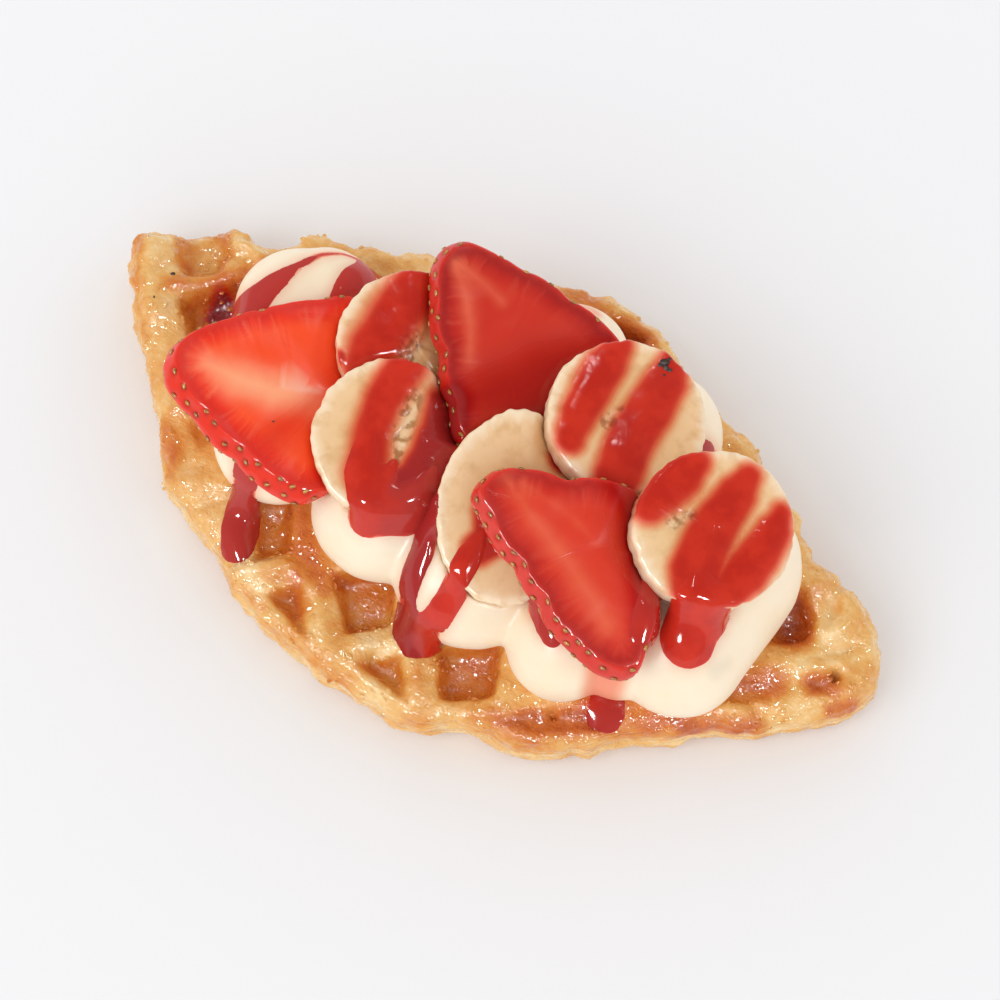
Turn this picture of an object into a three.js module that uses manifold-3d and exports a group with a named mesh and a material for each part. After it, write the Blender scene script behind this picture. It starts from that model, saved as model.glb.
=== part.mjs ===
// A croffle: a croissant pressed in a waffle iron, with piped cream, slices of banana and
// slices of strawberry on top. Millimetres, +Z up, +X along its length. It rests on z = 0.
import * as THREE from 'three';
import { mergeVertices } from 'three/addons/utils/BufferGeometryUtils.js';
import Module from 'manifold-3d';

const wasm = await Module();
wasm.setup();

// ---- Driving dimensions ------------------------------------------------------------------

const DOUGH_HEIGHT = 15;        // underside to the top of the ridges
const RIM_ROUND = 3.4;          // rounding of the dough's outer edge
const RIM_WIDTH = 5.2;          // dough left whole outside the outermost pockets
const OUTLINE_STEPS = 116;

const GRID_START = [-5.4, -31.0];     // the middle of one pocket
const GRID_LONG = [-11.0, 10.8];      // step to the next pocket along one row of the iron
const GRID_CROSS = [-12.2, -11.9];    // step to the next row
const GRID_REACH = 8;
const ASKEW_FROM = 55;                // past this the rows bend towards the front
const ASKEW = 0.3;
const POCKET_TOP = 10.6;              // width of a pocket at the ridges
const POCKET_FLOOR = 8.6;             // width of a pocket at its floor
const POCKET_DEPTH = 5.2;
const UNDER_POCKET_DEPTH = 4.2;

const CREAM_BASE = DOUGH_HEIGHT + 0.3;
const CREAM_WAIST = 19.5;             // height at which the piped lobes are widest
const BANANA_THICK = 6;
const BERRY_THICK = 5.6;
const BERRY_STEPS = 34;
const SKIN_ROUND = 2.0;               // how far a berry's skin bulges past its cut faces
const GAP = 0.3;                      // air between one piece and the next

// The dough's edge, anticlockwise from the blunt left end: the front side first, then the
// right end, then the back side with the notch that an open pocket leaves.
const EDGE = [
  [-84.8, 6], [-77, -4], [-67, -14], [-56, -24.5], [-49, -32.5], [-42.5, -35], [-34.5, -37.2],
  [-29.5, -40.8], [-20, -43.8], [-9.5, -46], [4, -45.6], [14.5, -45.4], [23.5, -39.8],
  [35.5, -38.4], [45, -30.6], [59.5, -18.2], [68.5, -11.8], [80.4, -1], [84.8, 6.4],
  [81.6, 14.6], [75, 19.4], [67, 22.2], [62.5, 21], [58.6, 26], [51, 30.2], [46, 31.8],
  [41, 35.8], [32, 37.4], [22, 41.6], [12, 46.4], [-2, 46], [-13, 42], [-26, 38],
  [-37, 33.8], [-45.5, 28.6], [-55.4, 26.4], [-60, 18.6], [-65, 19], [-71, 18.4],
  [-78.6, 11.6], [-82.8, 9.6],
];

// Piped lobes of cream: the two ends of each, with the width there, and its height.
const LOBES = [
  { back: [-44.5, 10.5], front: [-35, -14.5], backWide: 12.8, frontWide: 13, tall: 9.5 },
  { back: [-17, 18], front: [-9.8, -14.8], backWide: 12, frontWide: 14.7, tall: 11.5 },
  { back: [3, 29], front: [9.8, -16.6], backWide: 11, frontWide: 15.2, tall: 13 },
  { back: [25, 24.4], front: [32, -19.4], backWide: 12.6, frontWide: 10.6, tall: 15 },
  { back: [49.5, 9.5], front: [50.6, -8.4], backWide: 14.4, frontWide: 12.6, tall: 17 },
];

// Slices in the order they were laid. `slope` is the rise of the slice along X and along Y.
const SLICES = [
  { name: 'strawberry_slice_1', at: [-59.6, -15.6, 30], slope: [-0.04, -0.02],
    towards: 17, length: 41, width: 42, lean: 0.14, fullness: 0.56 },
  { name: 'banana_slice_1', at: [-20.5, 11.4, 31], slope: [-0.13, 0.02],
    wide: 15.1, tall: 14.6, turn: 20 },
  { name: 'banana_slice_2', at: [-14.2, -6.6, 33.4], slope: [-0.15, 0.14],
    wide: 14.5, tall: 14.9, turn: 0 },
  { name: 'strawberry_slice_2', at: [-26.2, 30.4, 36.6], slope: [-0.12, 0.04],
    towards: -26, length: 41, width: 35, lean: -0.12, fullness: 0.58 },
  { name: 'banana_slice_3', at: [12.6, -5.2, 34.8], slope: [-0.14, 0.2],
    wide: 18, tall: 14.2, turn: -73 },
  { name: 'banana_slice_4', at: [21, 18.6, 37.2], slope: [-0.14, -0.06],
    wide: 14.8, tall: 14.9, turn: 40 },
  { name: 'strawberry_slice_3', at: [47.2, -23.2, 36], slope: [-0.12, 0.13],
    towards: 141, length: 40, width: 33, lean: -0.42, fullness: 0.55 },
  { name: 'banana_slice_5', at: [45.4, 8.4, 40.4], slope: [-0.2, 0.03],
    wide: 14.9, tall: 14.4, turn: 65 },
];

// ---- Helpers -----------------------------------------------------------------------------

// A closed three.js geometry as a solid that can be cut and joined.
function solid(geometry) {
  const bare = geometry.index ? geometry.toNonIndexed() : geometry.clone();
  for (const name of Object.keys(bare.attributes)) {
    if (name !== 'position') bare.deleteAttribute(name);
  }
  const welded = mergeVertices(bare, 1e-4);
  return new wasm.Manifold(new wasm.Mesh({
    numProp: 3,
    vertProperties: Float32Array.from(welded.attributes.position.array),
    triVerts: Uint32Array.from(welded.index.array),
  }));
}

function geometryOf(part) {
  const mesh = part.getMesh();
  const geometry = new THREE.BufferGeometry();
  geometry.setAttribute('position', new THREE.BufferAttribute(mesh.vertProperties.slice(), 3));
  geometry.setIndex(new THREE.BufferAttribute(mesh.triVerts.slice(), 1));
  geometry.computeVertexNormals();
  return geometry;
}

function joined(parts) {
  return parts.reduce((whole, part) => whole.add(part));
}

// Where a cut leaves crumbs beside the main body, only the body is kept.
function largest(part) {
  const bodies = part.decompose();
  return bodies.reduce((best, body) => (body.volume() > best.volume() ? body : best));
}

// Evenly spaced points on a smooth closed curve through the given ones.
function smoothLoop(points, steps) {
  const curve = new THREE.CatmullRomCurve3(
    points.map((point) => new THREE.Vector3(point.x, point.y, 0)), true, 'centripetal');
  return curve.getSpacedPoints(steps)
    .slice(0, steps)
    .map((point) => new THREE.Vector2(point.x, point.y));
}

// A flat slab of the given outline with rounded edges, its middle on z = 0.
function roundedSlab(outline, thick, round, roundSteps) {
  const geometry = new THREE.ExtrudeGeometry(new THREE.Shape(outline), {
    depth: thick - 2 * round,
    steps: 1,
    bevelEnabled: true,
    bevelThickness: round,
    bevelSize: round,
    bevelOffset: -round,
    bevelSegments: roundSteps,
  });
  return geometry.translate(0, 0, -(thick - 2 * round) / 2);
}

// ---- Dough -------------------------------------------------------------------------------

function doughOutline() {
  return smoothLoop(EDGE.map(([x, y]) => new THREE.Vector2(x, y)), OUTLINE_STEPS);
}

// One tapered pocket of the iron, open at the level `mouth` and sunk towards `floor`.
function pocket(x, y, mouth, floor) {
  const cornerMouth = POCKET_TOP / Math.SQRT2;
  const cornerFloor = POCKET_FLOOR / Math.SQRT2;
  const past = 4;                       // the cutter also clears the dough's swollen skin
  const taper = (cornerMouth - cornerFloor) / Math.abs(mouth - floor);
  const up = mouth > floor;
  const outer = cornerMouth + taper * past;
  const tall = Math.abs(mouth - floor) + past;
  const geometry = new THREE.CylinderGeometry(
    up ? outer : cornerFloor, up ? cornerFloor : outer, tall, 4, 1);
  geometry.rotateX(Math.PI / 2);
  geometry.translate(x, y, up ? floor + tall / 2 : floor - tall / 2);
  return solid(geometry);
}

function gridPoints() {
  const points = [];
  for (let row = -GRID_REACH; row <= GRID_REACH; row += 1) {
    for (let step = -GRID_REACH; step <= GRID_REACH; step += 1) {
      const x = GRID_START[0] + step * GRID_LONG[0] + row * GRID_CROSS[0];
      const y = GRID_START[1] + step * GRID_LONG[1] + row * GRID_CROSS[1];
      points.push([x, y - ASKEW * Math.max(0, x - ASKEW_FROM)]);
    }
  }
  return points;
}

function distanceToOutline(x, y, outline) {
  const point = new THREE.Vector3(x, y, 0);
  const nearest = new THREE.Vector3();
  return Math.min(...outline.map((start, index) => {
    const end = outline[(index + 1) % outline.length];
    const side = new THREE.Line3(
      new THREE.Vector3(start.x, start.y, 0), new THREE.Vector3(end.x, end.y, 0));
    return side.closestPointToPoint(point, true, nearest).distanceTo(point);
  }));
}

// The outline drawn in by `width`; points that would land too near another side are left out.
function drawnIn(outline, width) {
  const count = outline.length;
  return outline.map((point, index) => {
    const before = outline[(index + count - 1) % count];
    const after = outline[(index + 1) % count];
    const run = Math.hypot(after.x - before.x, after.y - before.y);
    return new THREE.Vector2(
      point.x - (width * (after.y - before.y)) / run,
      point.y + (width * (after.x - before.x)) / run);
  }).filter((point) => distanceToOutline(point.x, point.y, outline) > 0.98 * width);
}

function insideOutline(x, y, outline) {
  let inside = false;
  outline.forEach((a, index) => {
    const b = outline[(index + outline.length - 1) % outline.length];
    if ((a.y > y) !== (b.y > y) && x < ((b.x - a.x) * (y - a.y)) / (b.y - a.y) + a.x) {
      inside = !inside;
    }
  });
  return inside;
}

// The dough rises unevenly: slow swells of the top, none of them above DOUGH_HEIGHT.
function topSag(x, y) {
  const swell = Math.sin(x / 13 + 0.6) * Math.cos(y / 10 - x / 31);
  const ends = Math.max(0, (Math.abs(x) - 58) / 28);
  return 0.55 * (1 + swell) + 1.1 * ends * ends;
}

function makeCroffle() {
  const outline = doughOutline();
  const body = solid(roundedSlab(outline, DOUGH_HEIGHT, RIM_ROUND, 3)
    .translate(0, 0, DOUGH_HEIGHT / 2));
  const field = solid(new THREE.ExtrudeGeometry(
    new THREE.Shape(drawnIn(outline, RIM_WIDTH)),
    { depth: DOUGH_HEIGHT * 2, steps: 1, bevelEnabled: false },
  ).translate(0, 0, -DOUGH_HEIGHT / 2));
  const places = gridPoints().filter(([x, y]) => (
    insideOutline(x, y, outline) || distanceToOutline(x, y, outline) < POCKET_TOP / 2));
  const above = joined(places.map(([x, y]) => (
    pocket(x, y, DOUGH_HEIGHT, DOUGH_HEIGHT - POCKET_DEPTH))));
  const below = joined(places.map(([x, y]) => pocket(x, y, 0, UNDER_POCKET_DEPTH)));
  const pressed = body.subtract(above.intersect(field)).subtract(below.intersect(field));
  const uneven = largest(pressed).warp((vertex) => {
    const height = Math.max(0, vertex[2] - DOUGH_HEIGHT / 2) / (DOUGH_HEIGHT / 2);
    vertex[2] -= height * topSag(vertex[0], vertex[1]);
  });
  return uneven;
}

// ---- Cream -------------------------------------------------------------------------------

// One piped lobe: a capsule with ends of two widths, flattened to its height.
function creamLobe({ back, front, backWide, frontWide, tall }) {
  const run = Math.hypot(front[0] - back[0], front[1] - back[1]);
  const arcSteps = 5;
  const profile = [];
  for (let step = 0; step <= arcSteps; step += 1) {
    const angle = (Math.PI / 2) * (step / arcSteps);
    profile.push(new THREE.Vector2(backWide * Math.sin(angle), -backWide * Math.cos(angle)));
  }
  for (let step = 0; step <= arcSteps; step += 1) {
    const angle = (Math.PI / 2) * (step / arcSteps);
    profile.push(new THREE.Vector2(
      frontWide * Math.cos(angle), run + frontWide * Math.sin(angle)));
  }
  profile[0].x = 0;
  profile[profile.length - 1].x = 0;
  const geometry = new THREE.LatheGeometry(profile, 16);
  geometry.scale(1, 1, tall / Math.max(backWide, frontWide));
  const heading = Math.atan2(front[1] - back[1], front[0] - back[0]);
  geometry.rotateZ(heading - Math.PI / 2);
  geometry.translate(back[0], back[1], CREAM_WAIST);
  return solid(geometry);
}

function makeCream() {
  const under = new THREE.BoxGeometry(220, 140, CREAM_BASE);
  under.translate(0, 0, CREAM_BASE / 2);
  return joined(LOBES.map(creamLobe)).subtract(solid(under));
}

// ---- Slices ------------------------------------------------------------------------------

// Tips a flat slice so that it rises by `slope` along X and Y, and lays it at `at`.
function lay(geometry, at, slope) {
  const up = new THREE.Vector3(-slope[0], -slope[1], 1).normalize();
  geometry.applyQuaternion(
    new THREE.Quaternion().setFromUnitVectors(new THREE.Vector3(0, 0, 1), up));
  return geometry.translate(at[0], at[1], at[2]);
}

// A banana slice has a faintly five-sided edge.
function bananaSlice({ at, slope, wide, tall, turn }, grow) {
  const steps = 30;
  const outline = [];
  for (let step = 0; step < steps; step += 1) {
    const angle = (2 * Math.PI * step) / steps;
    const ripple = 1 + 0.014 * Math.cos(5 * angle);
    outline.push(new THREE.Vector2(
      (wide * ripple + grow) * Math.cos(angle), (tall * ripple + grow) * Math.sin(angle)));
  }
  const geometry = roundedSlab(outline, BANANA_THICK + 2 * grow, 0.7, 1);
  geometry.rotateZ(THREE.MathUtils.degToRad(turn));
  return solid(lay(geometry, at, slope));
}

// Half the width of a berry at the share t of its length, from 0 at the tip to 1 at the top.
function berryHalfWidth(t, width, fullness) {
  const shoulder = 0.84;
  return (width / 2) * (t / shoulder) ** fullness * Math.sqrt(1 - t ** 12);
}

// A slice cut along a berry, from its tip, which lies at `at`, in the direction `towards`.
function berrySlice({ at, slope, towards, length, width, lean, fullness }, grow) {
  const steps = 18;
  const side = (sign) => Array.from({ length: steps - 1 }, (_, index) => {
    const t = 0.5 - 0.5 * Math.cos((Math.PI * (index + 1)) / steps);
    const half = sign * berryHalfWidth(t, width + 2 * grow, fullness);
    return new THREE.Vector2(t * (length + 2 * grow) - grow - lean * half, half);
  });
  const outline = [
    new THREE.Vector2(-grow, 0),
    ...side(-1),
    new THREE.Vector2(length + grow, 0),
    ...side(1).reverse(),
  ];
  const edge = smoothLoop(outline, BERRY_STEPS);
  const geometry = roundedSlab(edge, BERRY_THICK + 2 * grow, SKIN_ROUND, 2);
  geometry.rotateZ(THREE.MathUtils.degToRad(towards));
  return solid(lay(geometry, at, slope));
}

function slice(spec, grow) {
  return spec.name.startsWith('banana') ? bananaSlice(spec, grow) : berrySlice(spec, grow);
}

// Each slice presses into those laid before it, and all of them press into the cream.
function pressedSlices() {
  return SLICES.map((spec, index) => {
    const later = SLICES.slice(index + 1).map((other) => slice(other, GAP));
    const whole = slice(spec, 0);
    return [spec.name, later.length ? largest(whole.subtract(joined(later))) : whole];
  });
}

// ---- Assembly ----------------------------------------------------------------------------

const FINISH = {
  croffle: { color: 0xd9a560, roughness: 0.45 },
  cream: { color: 0xfdf0d8, roughness: 0.5 },
  banana: { color: 0xecd2a2, roughness: 0.45 },
  strawberry: { color: 0xd8321f, roughness: 0.25 },
};

function makePart() {
  const croffle = makeCroffle();
  const slices = pressedSlices();
  const grown = joined(SLICES.map((spec) => slice(spec, GAP)));
  const cream = largest(makeCream().subtract(grown));
  const pieces = [['croffle', croffle], ['cream', cream], ...slices];
  const box = croffle.boundingBox();
  const group = new THREE.Group();
  for (const [name, part] of pieces) {
    const geometry = geometryOf(part);
    geometry.translate(-(box.min[0] + box.max[0]) / 2, -(box.min[1] + box.max[1]) / 2, 0);
    const finish = FINISH[name.split('_')[0]];
    const mesh = new THREE.Mesh(geometry, new THREE.MeshStandardMaterial({
      color: finish.color,
      roughness: finish.roughness,
      metalness: 0,
    }));
    mesh.name = name;
    group.add(mesh);
  }
  return group;
}

export default makePart();
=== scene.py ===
# %% [markdown]
# # A croffle with cream, banana and strawberry
# A croffle is a croissant pressed flat in a waffle iron. This one carries five lobes of piped
# cream, five slices of banana and three slices of strawberry, with strawberry sauce poured over
# them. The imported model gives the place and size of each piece; here each piece gets its real
# surface. All lengths in the lists are millimetres, and `MM` turns them into Blender's metres.

# %% The frame
import bpy
import math
import itertools
import numpy as np
from mathutils import Vector, Matrix
from mathutils.bvhtree import BVHTree
from mathutils.kdtree import KDTree


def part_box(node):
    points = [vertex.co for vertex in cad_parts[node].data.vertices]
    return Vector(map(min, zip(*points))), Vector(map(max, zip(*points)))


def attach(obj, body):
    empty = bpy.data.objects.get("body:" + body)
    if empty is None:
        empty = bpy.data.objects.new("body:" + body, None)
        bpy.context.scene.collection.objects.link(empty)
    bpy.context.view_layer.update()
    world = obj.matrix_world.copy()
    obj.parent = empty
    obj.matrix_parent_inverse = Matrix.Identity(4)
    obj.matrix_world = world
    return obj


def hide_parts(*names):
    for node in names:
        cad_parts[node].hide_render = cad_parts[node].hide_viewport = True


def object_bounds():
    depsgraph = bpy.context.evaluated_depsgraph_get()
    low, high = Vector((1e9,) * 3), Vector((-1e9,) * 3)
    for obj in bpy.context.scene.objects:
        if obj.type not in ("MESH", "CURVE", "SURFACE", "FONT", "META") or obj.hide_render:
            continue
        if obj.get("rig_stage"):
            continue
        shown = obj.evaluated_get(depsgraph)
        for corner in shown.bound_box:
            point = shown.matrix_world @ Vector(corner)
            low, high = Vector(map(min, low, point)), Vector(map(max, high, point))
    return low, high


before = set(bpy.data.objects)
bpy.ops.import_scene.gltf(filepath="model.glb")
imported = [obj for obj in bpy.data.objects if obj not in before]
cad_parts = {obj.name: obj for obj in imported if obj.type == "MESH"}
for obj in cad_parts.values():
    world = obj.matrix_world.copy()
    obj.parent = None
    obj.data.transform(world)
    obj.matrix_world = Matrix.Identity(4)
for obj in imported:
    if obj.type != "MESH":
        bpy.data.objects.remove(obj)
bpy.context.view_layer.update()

MM = 0.001

# %% [markdown]
# ## Helpers for shaping
# Operators act on what is selected, so each step first clears the selection. Fine shaping, such
# as the swell of baked dough, is done on the points themselves: they are read into one array,
# moved, and written back. Sculpting by hand could do the same, but could not be run again.

# %% Selecting and finishing
def deselect():
    if bpy.context.mode != "OBJECT":
        bpy.ops.object.mode_set(mode="OBJECT")
    bpy.ops.object.select_all(action="DESELECT")


def pick(*pieces):
    deselect()
    for piece in pieces:
        piece.select_set(True)
    bpy.context.view_layer.objects.active = pieces[0]


def added(name):
    piece = bpy.context.object
    piece.name = name
    piece.data.name = name
    return piece


def copy_of(model, name):
    """A copy with its own mesh."""
    piece = model.copy()
    piece.data = model.data.copy()
    piece.name = name
    piece.data.name = name
    bpy.context.scene.collection.objects.link(piece)
    return piece


def apply_modifier(piece, kind, **settings):
    pick(piece)
    modifier = piece.modifiers.new(kind.title(), kind)
    for key, value in settings.items():
        setattr(modifier, key, value)
    bpy.ops.object.modifier_apply(modifier=modifier.name)


def join(name, pieces):
    pick(*pieces)
    bpy.ops.object.join()
    return added(name)


def smooth_shaded(piece):
    pick(piece)
    bpy.ops.object.shade_smooth()


# %% Reading and writing points
def read_all(layer, name, width):
    values = np.empty(len(layer) * width)
    layer.foreach_get(name, values)
    return values.reshape(-1, width)


def points_of(piece):
    return read_all(piece.data.vertices, "co", 3) / MM


def normals_of(piece):
    return read_all(piece.data.vertices, "normal", 3)


def set_points(piece, points):
    piece.data.vertices.foreach_set("co", (points * MM).ravel())
    piece.data.update()


def store(piece, name, values):
    values = np.asarray(values, float)
    kind = "FLOAT" if values.ndim == 1 else "FLOAT_VECTOR"
    layer = piece.data.attributes.new(name, kind, "POINT")
    layer.data.foreach_set("value" if values.ndim == 1 else "vector", values.ravel())


def stored(piece, name):
    layer = piece.data.attributes[name]
    if layer.data_type == "FLOAT":
        return read_all(layer.data, "value", 1)[:, 0]
    return read_all(layer.data, "vector", 3)


def step(low, high, values):
    """A soft step: 0 up to low, 1 from high on."""
    share = np.clip((np.asarray(values, float) - low) / (high - low), 0, 1)
    return share * share * (3 - 2 * share)


# %% Smooth noise on arrays of points
def noise(points, size, seed):
    """Soft bumps, about -1 to 1, `size` millimetres across."""
    rng = np.random.default_rng(seed)
    table = np.tile(rng.permutation(256), 4)
    slopes = rng.normal(size=(256, 3))
    slopes /= np.linalg.norm(slopes, axis=1)[:, None]
    spots = points / size + 100.0     # well away from 0, where the cells are counted from
    cell = np.floor(spots).astype(int)
    inner = spots - cell
    ease = inner ** 3 * (inner * (inner * 6 - 15) + 10)
    total = np.zeros(len(points))
    for corner in itertools.product((0, 1), repeat=3):
        at = (cell + corner) & 255
        index = table[table[table[at[:, 0]] + at[:, 1]] + at[:, 2]]
        reach = ((inner - corner) * slopes[index]).sum(1)
        total += reach * np.where(corner, ease, 1 - ease).prod(1)
    return total * 1.6


# %% [markdown]
# ## Floor, light and camera
# The croffle lies on a pale table. One broad soft light from the front left and a bright even
# sky light it, so that shadows stay soft. Reflections have lights of their own: the sky is dim
# in them, and three small lights that show nowhere else put the glints on sauce and syrup. One
# set of lights for both would either flatten the shadows or grey the gloss. The camera looks
# steeply down.

# %% Floor
FLOOR_SIZE = 6000 * MM
deselect()
bpy.ops.mesh.primitive_plane_add(size=FLOOR_SIZE, location=(0, 0, 0))
floor = added("floor")
floor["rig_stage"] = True
print("floor, metres across:", FLOOR_SIZE)

# %% Lights
def way_to(azimuth, elevation):
    """The direction from the croffle to a light or camera; azimuth 0 is the front."""
    a, e = math.radians(azimuth), math.radians(elevation)
    return Vector((math.sin(a) * math.cos(e), -math.cos(a) * math.cos(e), math.sin(e)))


def area_light(name, azimuth, elevation, distance, size, power):
    deselect()
    back = way_to(azimuth, elevation)
    bpy.ops.object.light_add(type="AREA", location=back * distance)
    light = bpy.context.object
    light.name = name
    light.rotation_euler = back.to_track_quat("Z", "Y").to_euler()
    light.data.shape = "DISK"
    light.data.size = size
    light.data.energy = power
    return light


key_light = area_light("key_light", -24, 50, 3.0, 1.9, 17.6)
key_light.visible_glossy = False
SPARK_DISTANCE = 1.6
SPARKS = [  # azimuth, elevation, size in metres, watts
    ("left_spark", -14, 47, 0.42, 34.0),
    ("right_spark", 74, 52, 0.3, 16.0),
    ("back_spark", 203, 64, 0.09, 0.7),
]
for name, azimuth, elevation, size, power in SPARKS:
    spark = area_light(name, azimuth, elevation, SPARK_DISTANCE, size, power)
    spark.visible_diffuse = False
print("lights:", 1 + len(SPARKS))

# %% Sky
SKY = [(0.5, (0.985, 0.99, 1.0, 1)), (0.92, (0.42, 0.42, 0.43, 1))]   # low, and overhead
SKY_STRENGTH = 1.26
SKY_IN_REFLECTIONS = 0.34
world = bpy.data.worlds.new("studio")
world.use_nodes = True
nodes, links = world.node_tree.nodes, world.node_tree.links
direction = nodes.new("ShaderNodeTexCoord")
split = nodes.new("ShaderNodeSeparateXYZ")
dome = nodes.new("ShaderNodeValToRGB")
for element, (position, colour) in zip(dome.color_ramp.elements, SKY):
    element.position = position
    element.color = colour
links.new(direction.outputs["Generated"], split.inputs["Vector"])
links.new(split.outputs["Z"], dome.inputs["Fac"])
links.new(dome.outputs["Color"], nodes["Background"].inputs["Color"])
ray = nodes.new("ShaderNodeLightPath")
dim = nodes.new("ShaderNodeMapRange")
dim.inputs["To Min"].default_value = SKY_STRENGTH
dim.inputs["To Max"].default_value = SKY_IN_REFLECTIONS
links.new(ray.outputs["Is Glossy Ray"], dim.inputs["Value"])
links.new(dim.outputs["Result"], nodes["Background"].inputs["Strength"])
bpy.context.scene.world = world
bpy.context.scene.view_settings.view_transform = "Standard"
bpy.context.scene.view_settings.look = "None"
print("sky strength:", SKY_STRENGTH, "and in reflections:", SKY_IN_REFLECTIONS)

# %% Camera
VIEW_AZIMUTH = 33
VIEW_ELEVATION = 72
VIEW_DISTANCE = 528 * MM
VIEW_TARGET = Vector((6.0, -0.9, 15.0)) * MM
deselect()
back = way_to(VIEW_AZIMUTH, VIEW_ELEVATION)
bpy.ops.object.camera_add(location=VIEW_TARGET + back * VIEW_DISTANCE)
camera = bpy.context.object
camera.rotation_euler = (-back).to_track_quat("-Z", "Y").to_euler()
camera.data.lens = 100
camera.data.sensor_width = 36
bpy.context.scene.camera = camera
print("camera height, mm:", round(camera.location.z / MM))

# %% [markdown]
# ## The dough
# The imported dough has the right outline and thickness, but its edges are crisp. Bevels would
# only round them. So a copy of it is filled level on top and remeshed into an even skin, which
# can be pressed anywhere. Then the top gets soft pockets, drawn where the iron left them, and is
# creased and torn as baked layers are.

# %% A fine copy of the imported dough
FILL_VOXEL = 0.9
croffle = copy_of(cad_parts["croffle"], "croffle_dough")
croffle.parent = None
for tag in [tag for tag in croffle.keys() if tag.startswith("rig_")]:
    del croffle[tag]
pick(croffle)
bpy.ops.object.mode_set(mode="EDIT")
bpy.ops.mesh.select_all(action="SELECT")
bpy.ops.mesh.remove_doubles(threshold=0.01 * MM)
bpy.ops.object.mode_set(mode="OBJECT")
apply_modifier(croffle, "REMESH", mode="VOXEL", voxel_size=FILL_VOXEL * MM)
print("copied dough faces:", len(croffle.data.polygons))

# %% How far each point is from the dough's edge, and how far along it
EDGE_CORNERS = 900
LONG_TO_WIDE = 1.8     # evens out the corners between the long sides and the ends


def outline_of(points):
    """The furthest point in each direction, in order round the whole."""
    turn = np.arctan2(points[:, 1] * LONG_TO_WIDE, points[:, 0])
    slot = ((turn + math.pi) / (2 * math.pi) * EDGE_CORNERS).astype(int) % EDGE_CORNERS
    furthest = {}
    for index in np.argsort(np.hypot(points[:, 0], points[:, 1])):
        furthest[slot[index]] = index
    return points[[furthest[place] for place in sorted(furthest)], :2]


def tree_of_points(points):
    tree = KDTree(len(points))
    for count, point in enumerate(points):
        tree.insert(point, count)
    tree.balance()
    return tree


def nearest_on(points, line):
    """Distance in plan to a closed line, and the length along it of the nearest corner."""
    along = np.concatenate([[0], np.cumsum(np.hypot(*np.diff(line, axis=0).T))])
    tree = tree_of_points([(x, y, 0) for x, y in line])
    found = [tree.find((x, y, 0)) for x, y in points[:, :2]]
    return np.array([f[2] for f in found]), along[[f[1] for f in found]]


# %% Filling the top level
DOUGH_VOXEL = 0.66
DOUGH_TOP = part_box("croffle")[1].z / MM
LEVEL = DOUGH_TOP - 0.7
LEVEL_INSET = 3.4
points = points_of(croffle)
edge, _ = nearest_on(points, outline_of(points))
level = (edge > LEVEL_INSET) & (points[:, 2] > DOUGH_TOP / 3)
points[level, 2] = LEVEL
set_points(croffle, points)
apply_modifier(croffle, "REMESH", mode="VOXEL", voxel_size=DOUGH_VOXEL * MM)
apply_modifier(croffle, "SMOOTH", factor=0.5, iterations=4)
print("dough top:", round(DOUGH_TOP, 1), "mm; level part faces:", len(croffle.data.polygons))

# %% [markdown]
# A pocket is a closed line of corners with a depth and a width of wall; a fold, ridge or brown
# mark is a stroke: a path of points, each with a half width. Both become smooth fields in plan.

# %% Fields in plan: strokes and pockets
def stroke_reach(points, path):
    """Distance from each point to a stroke's line, less its half width there."""
    best = np.full(len(points), np.inf)
    half = np.zeros(len(points))
    path = np.array(path if len(path) > 1 else [path[0], np.add(path[0], (0.01, 0, 0))], float)
    for start, end in zip(path, path[1:]):
        run = end[:2] - start[:2]
        share = np.clip(((points - start[:2]) @ run) / (run @ run), 0, 1)
        wide = start[2] + (end[2] - start[2]) * share
        away = np.hypot(*(points - start[:2] - share[:, None] * run).T) - wide
        nearer = away < best
        best = np.where(nearer, away, best)
        half = np.where(nearer, wide, half)
    return best, half


def stroke_field(points, strokes):
    """Sum of strokes, each (amount, softness, path), fading over their softness."""
    total = np.zeros(len(points))
    for amount, soft, path in strokes:
        away, _ = stroke_reach(points[:, :2], path)
        total += amount * (1 - step(-soft, soft, away))
    return total


def inside_reach(points, corners):
    """Signed distance to a closed line of corners, negative inside it."""
    x, y = points[:, 0], points[:, 1]
    inside = np.zeros(len(points), bool)
    nearest = np.full(len(points), np.inf)
    for (x0, y0), (x1, y1) in zip(corners, corners[1:] + corners[:1]):
        if y0 != y1:
            crosses = (y0 > y) != (y1 > y)
            inside ^= crosses & (x < (x1 - x0) * (y - y0) / (y1 - y0) + x0)
        share = np.clip(((x - x0) * (x1 - x0) + (y - y0) * (y1 - y0))
                        / ((x1 - x0) ** 2 + (y1 - y0) ** 2), 0, 1)
        nearest = np.minimum(nearest, np.hypot(x - x0 - share * (x1 - x0),
                                               y - y0 - share * (y1 - y0)))
    return np.where(inside, -nearest, nearest)


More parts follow.
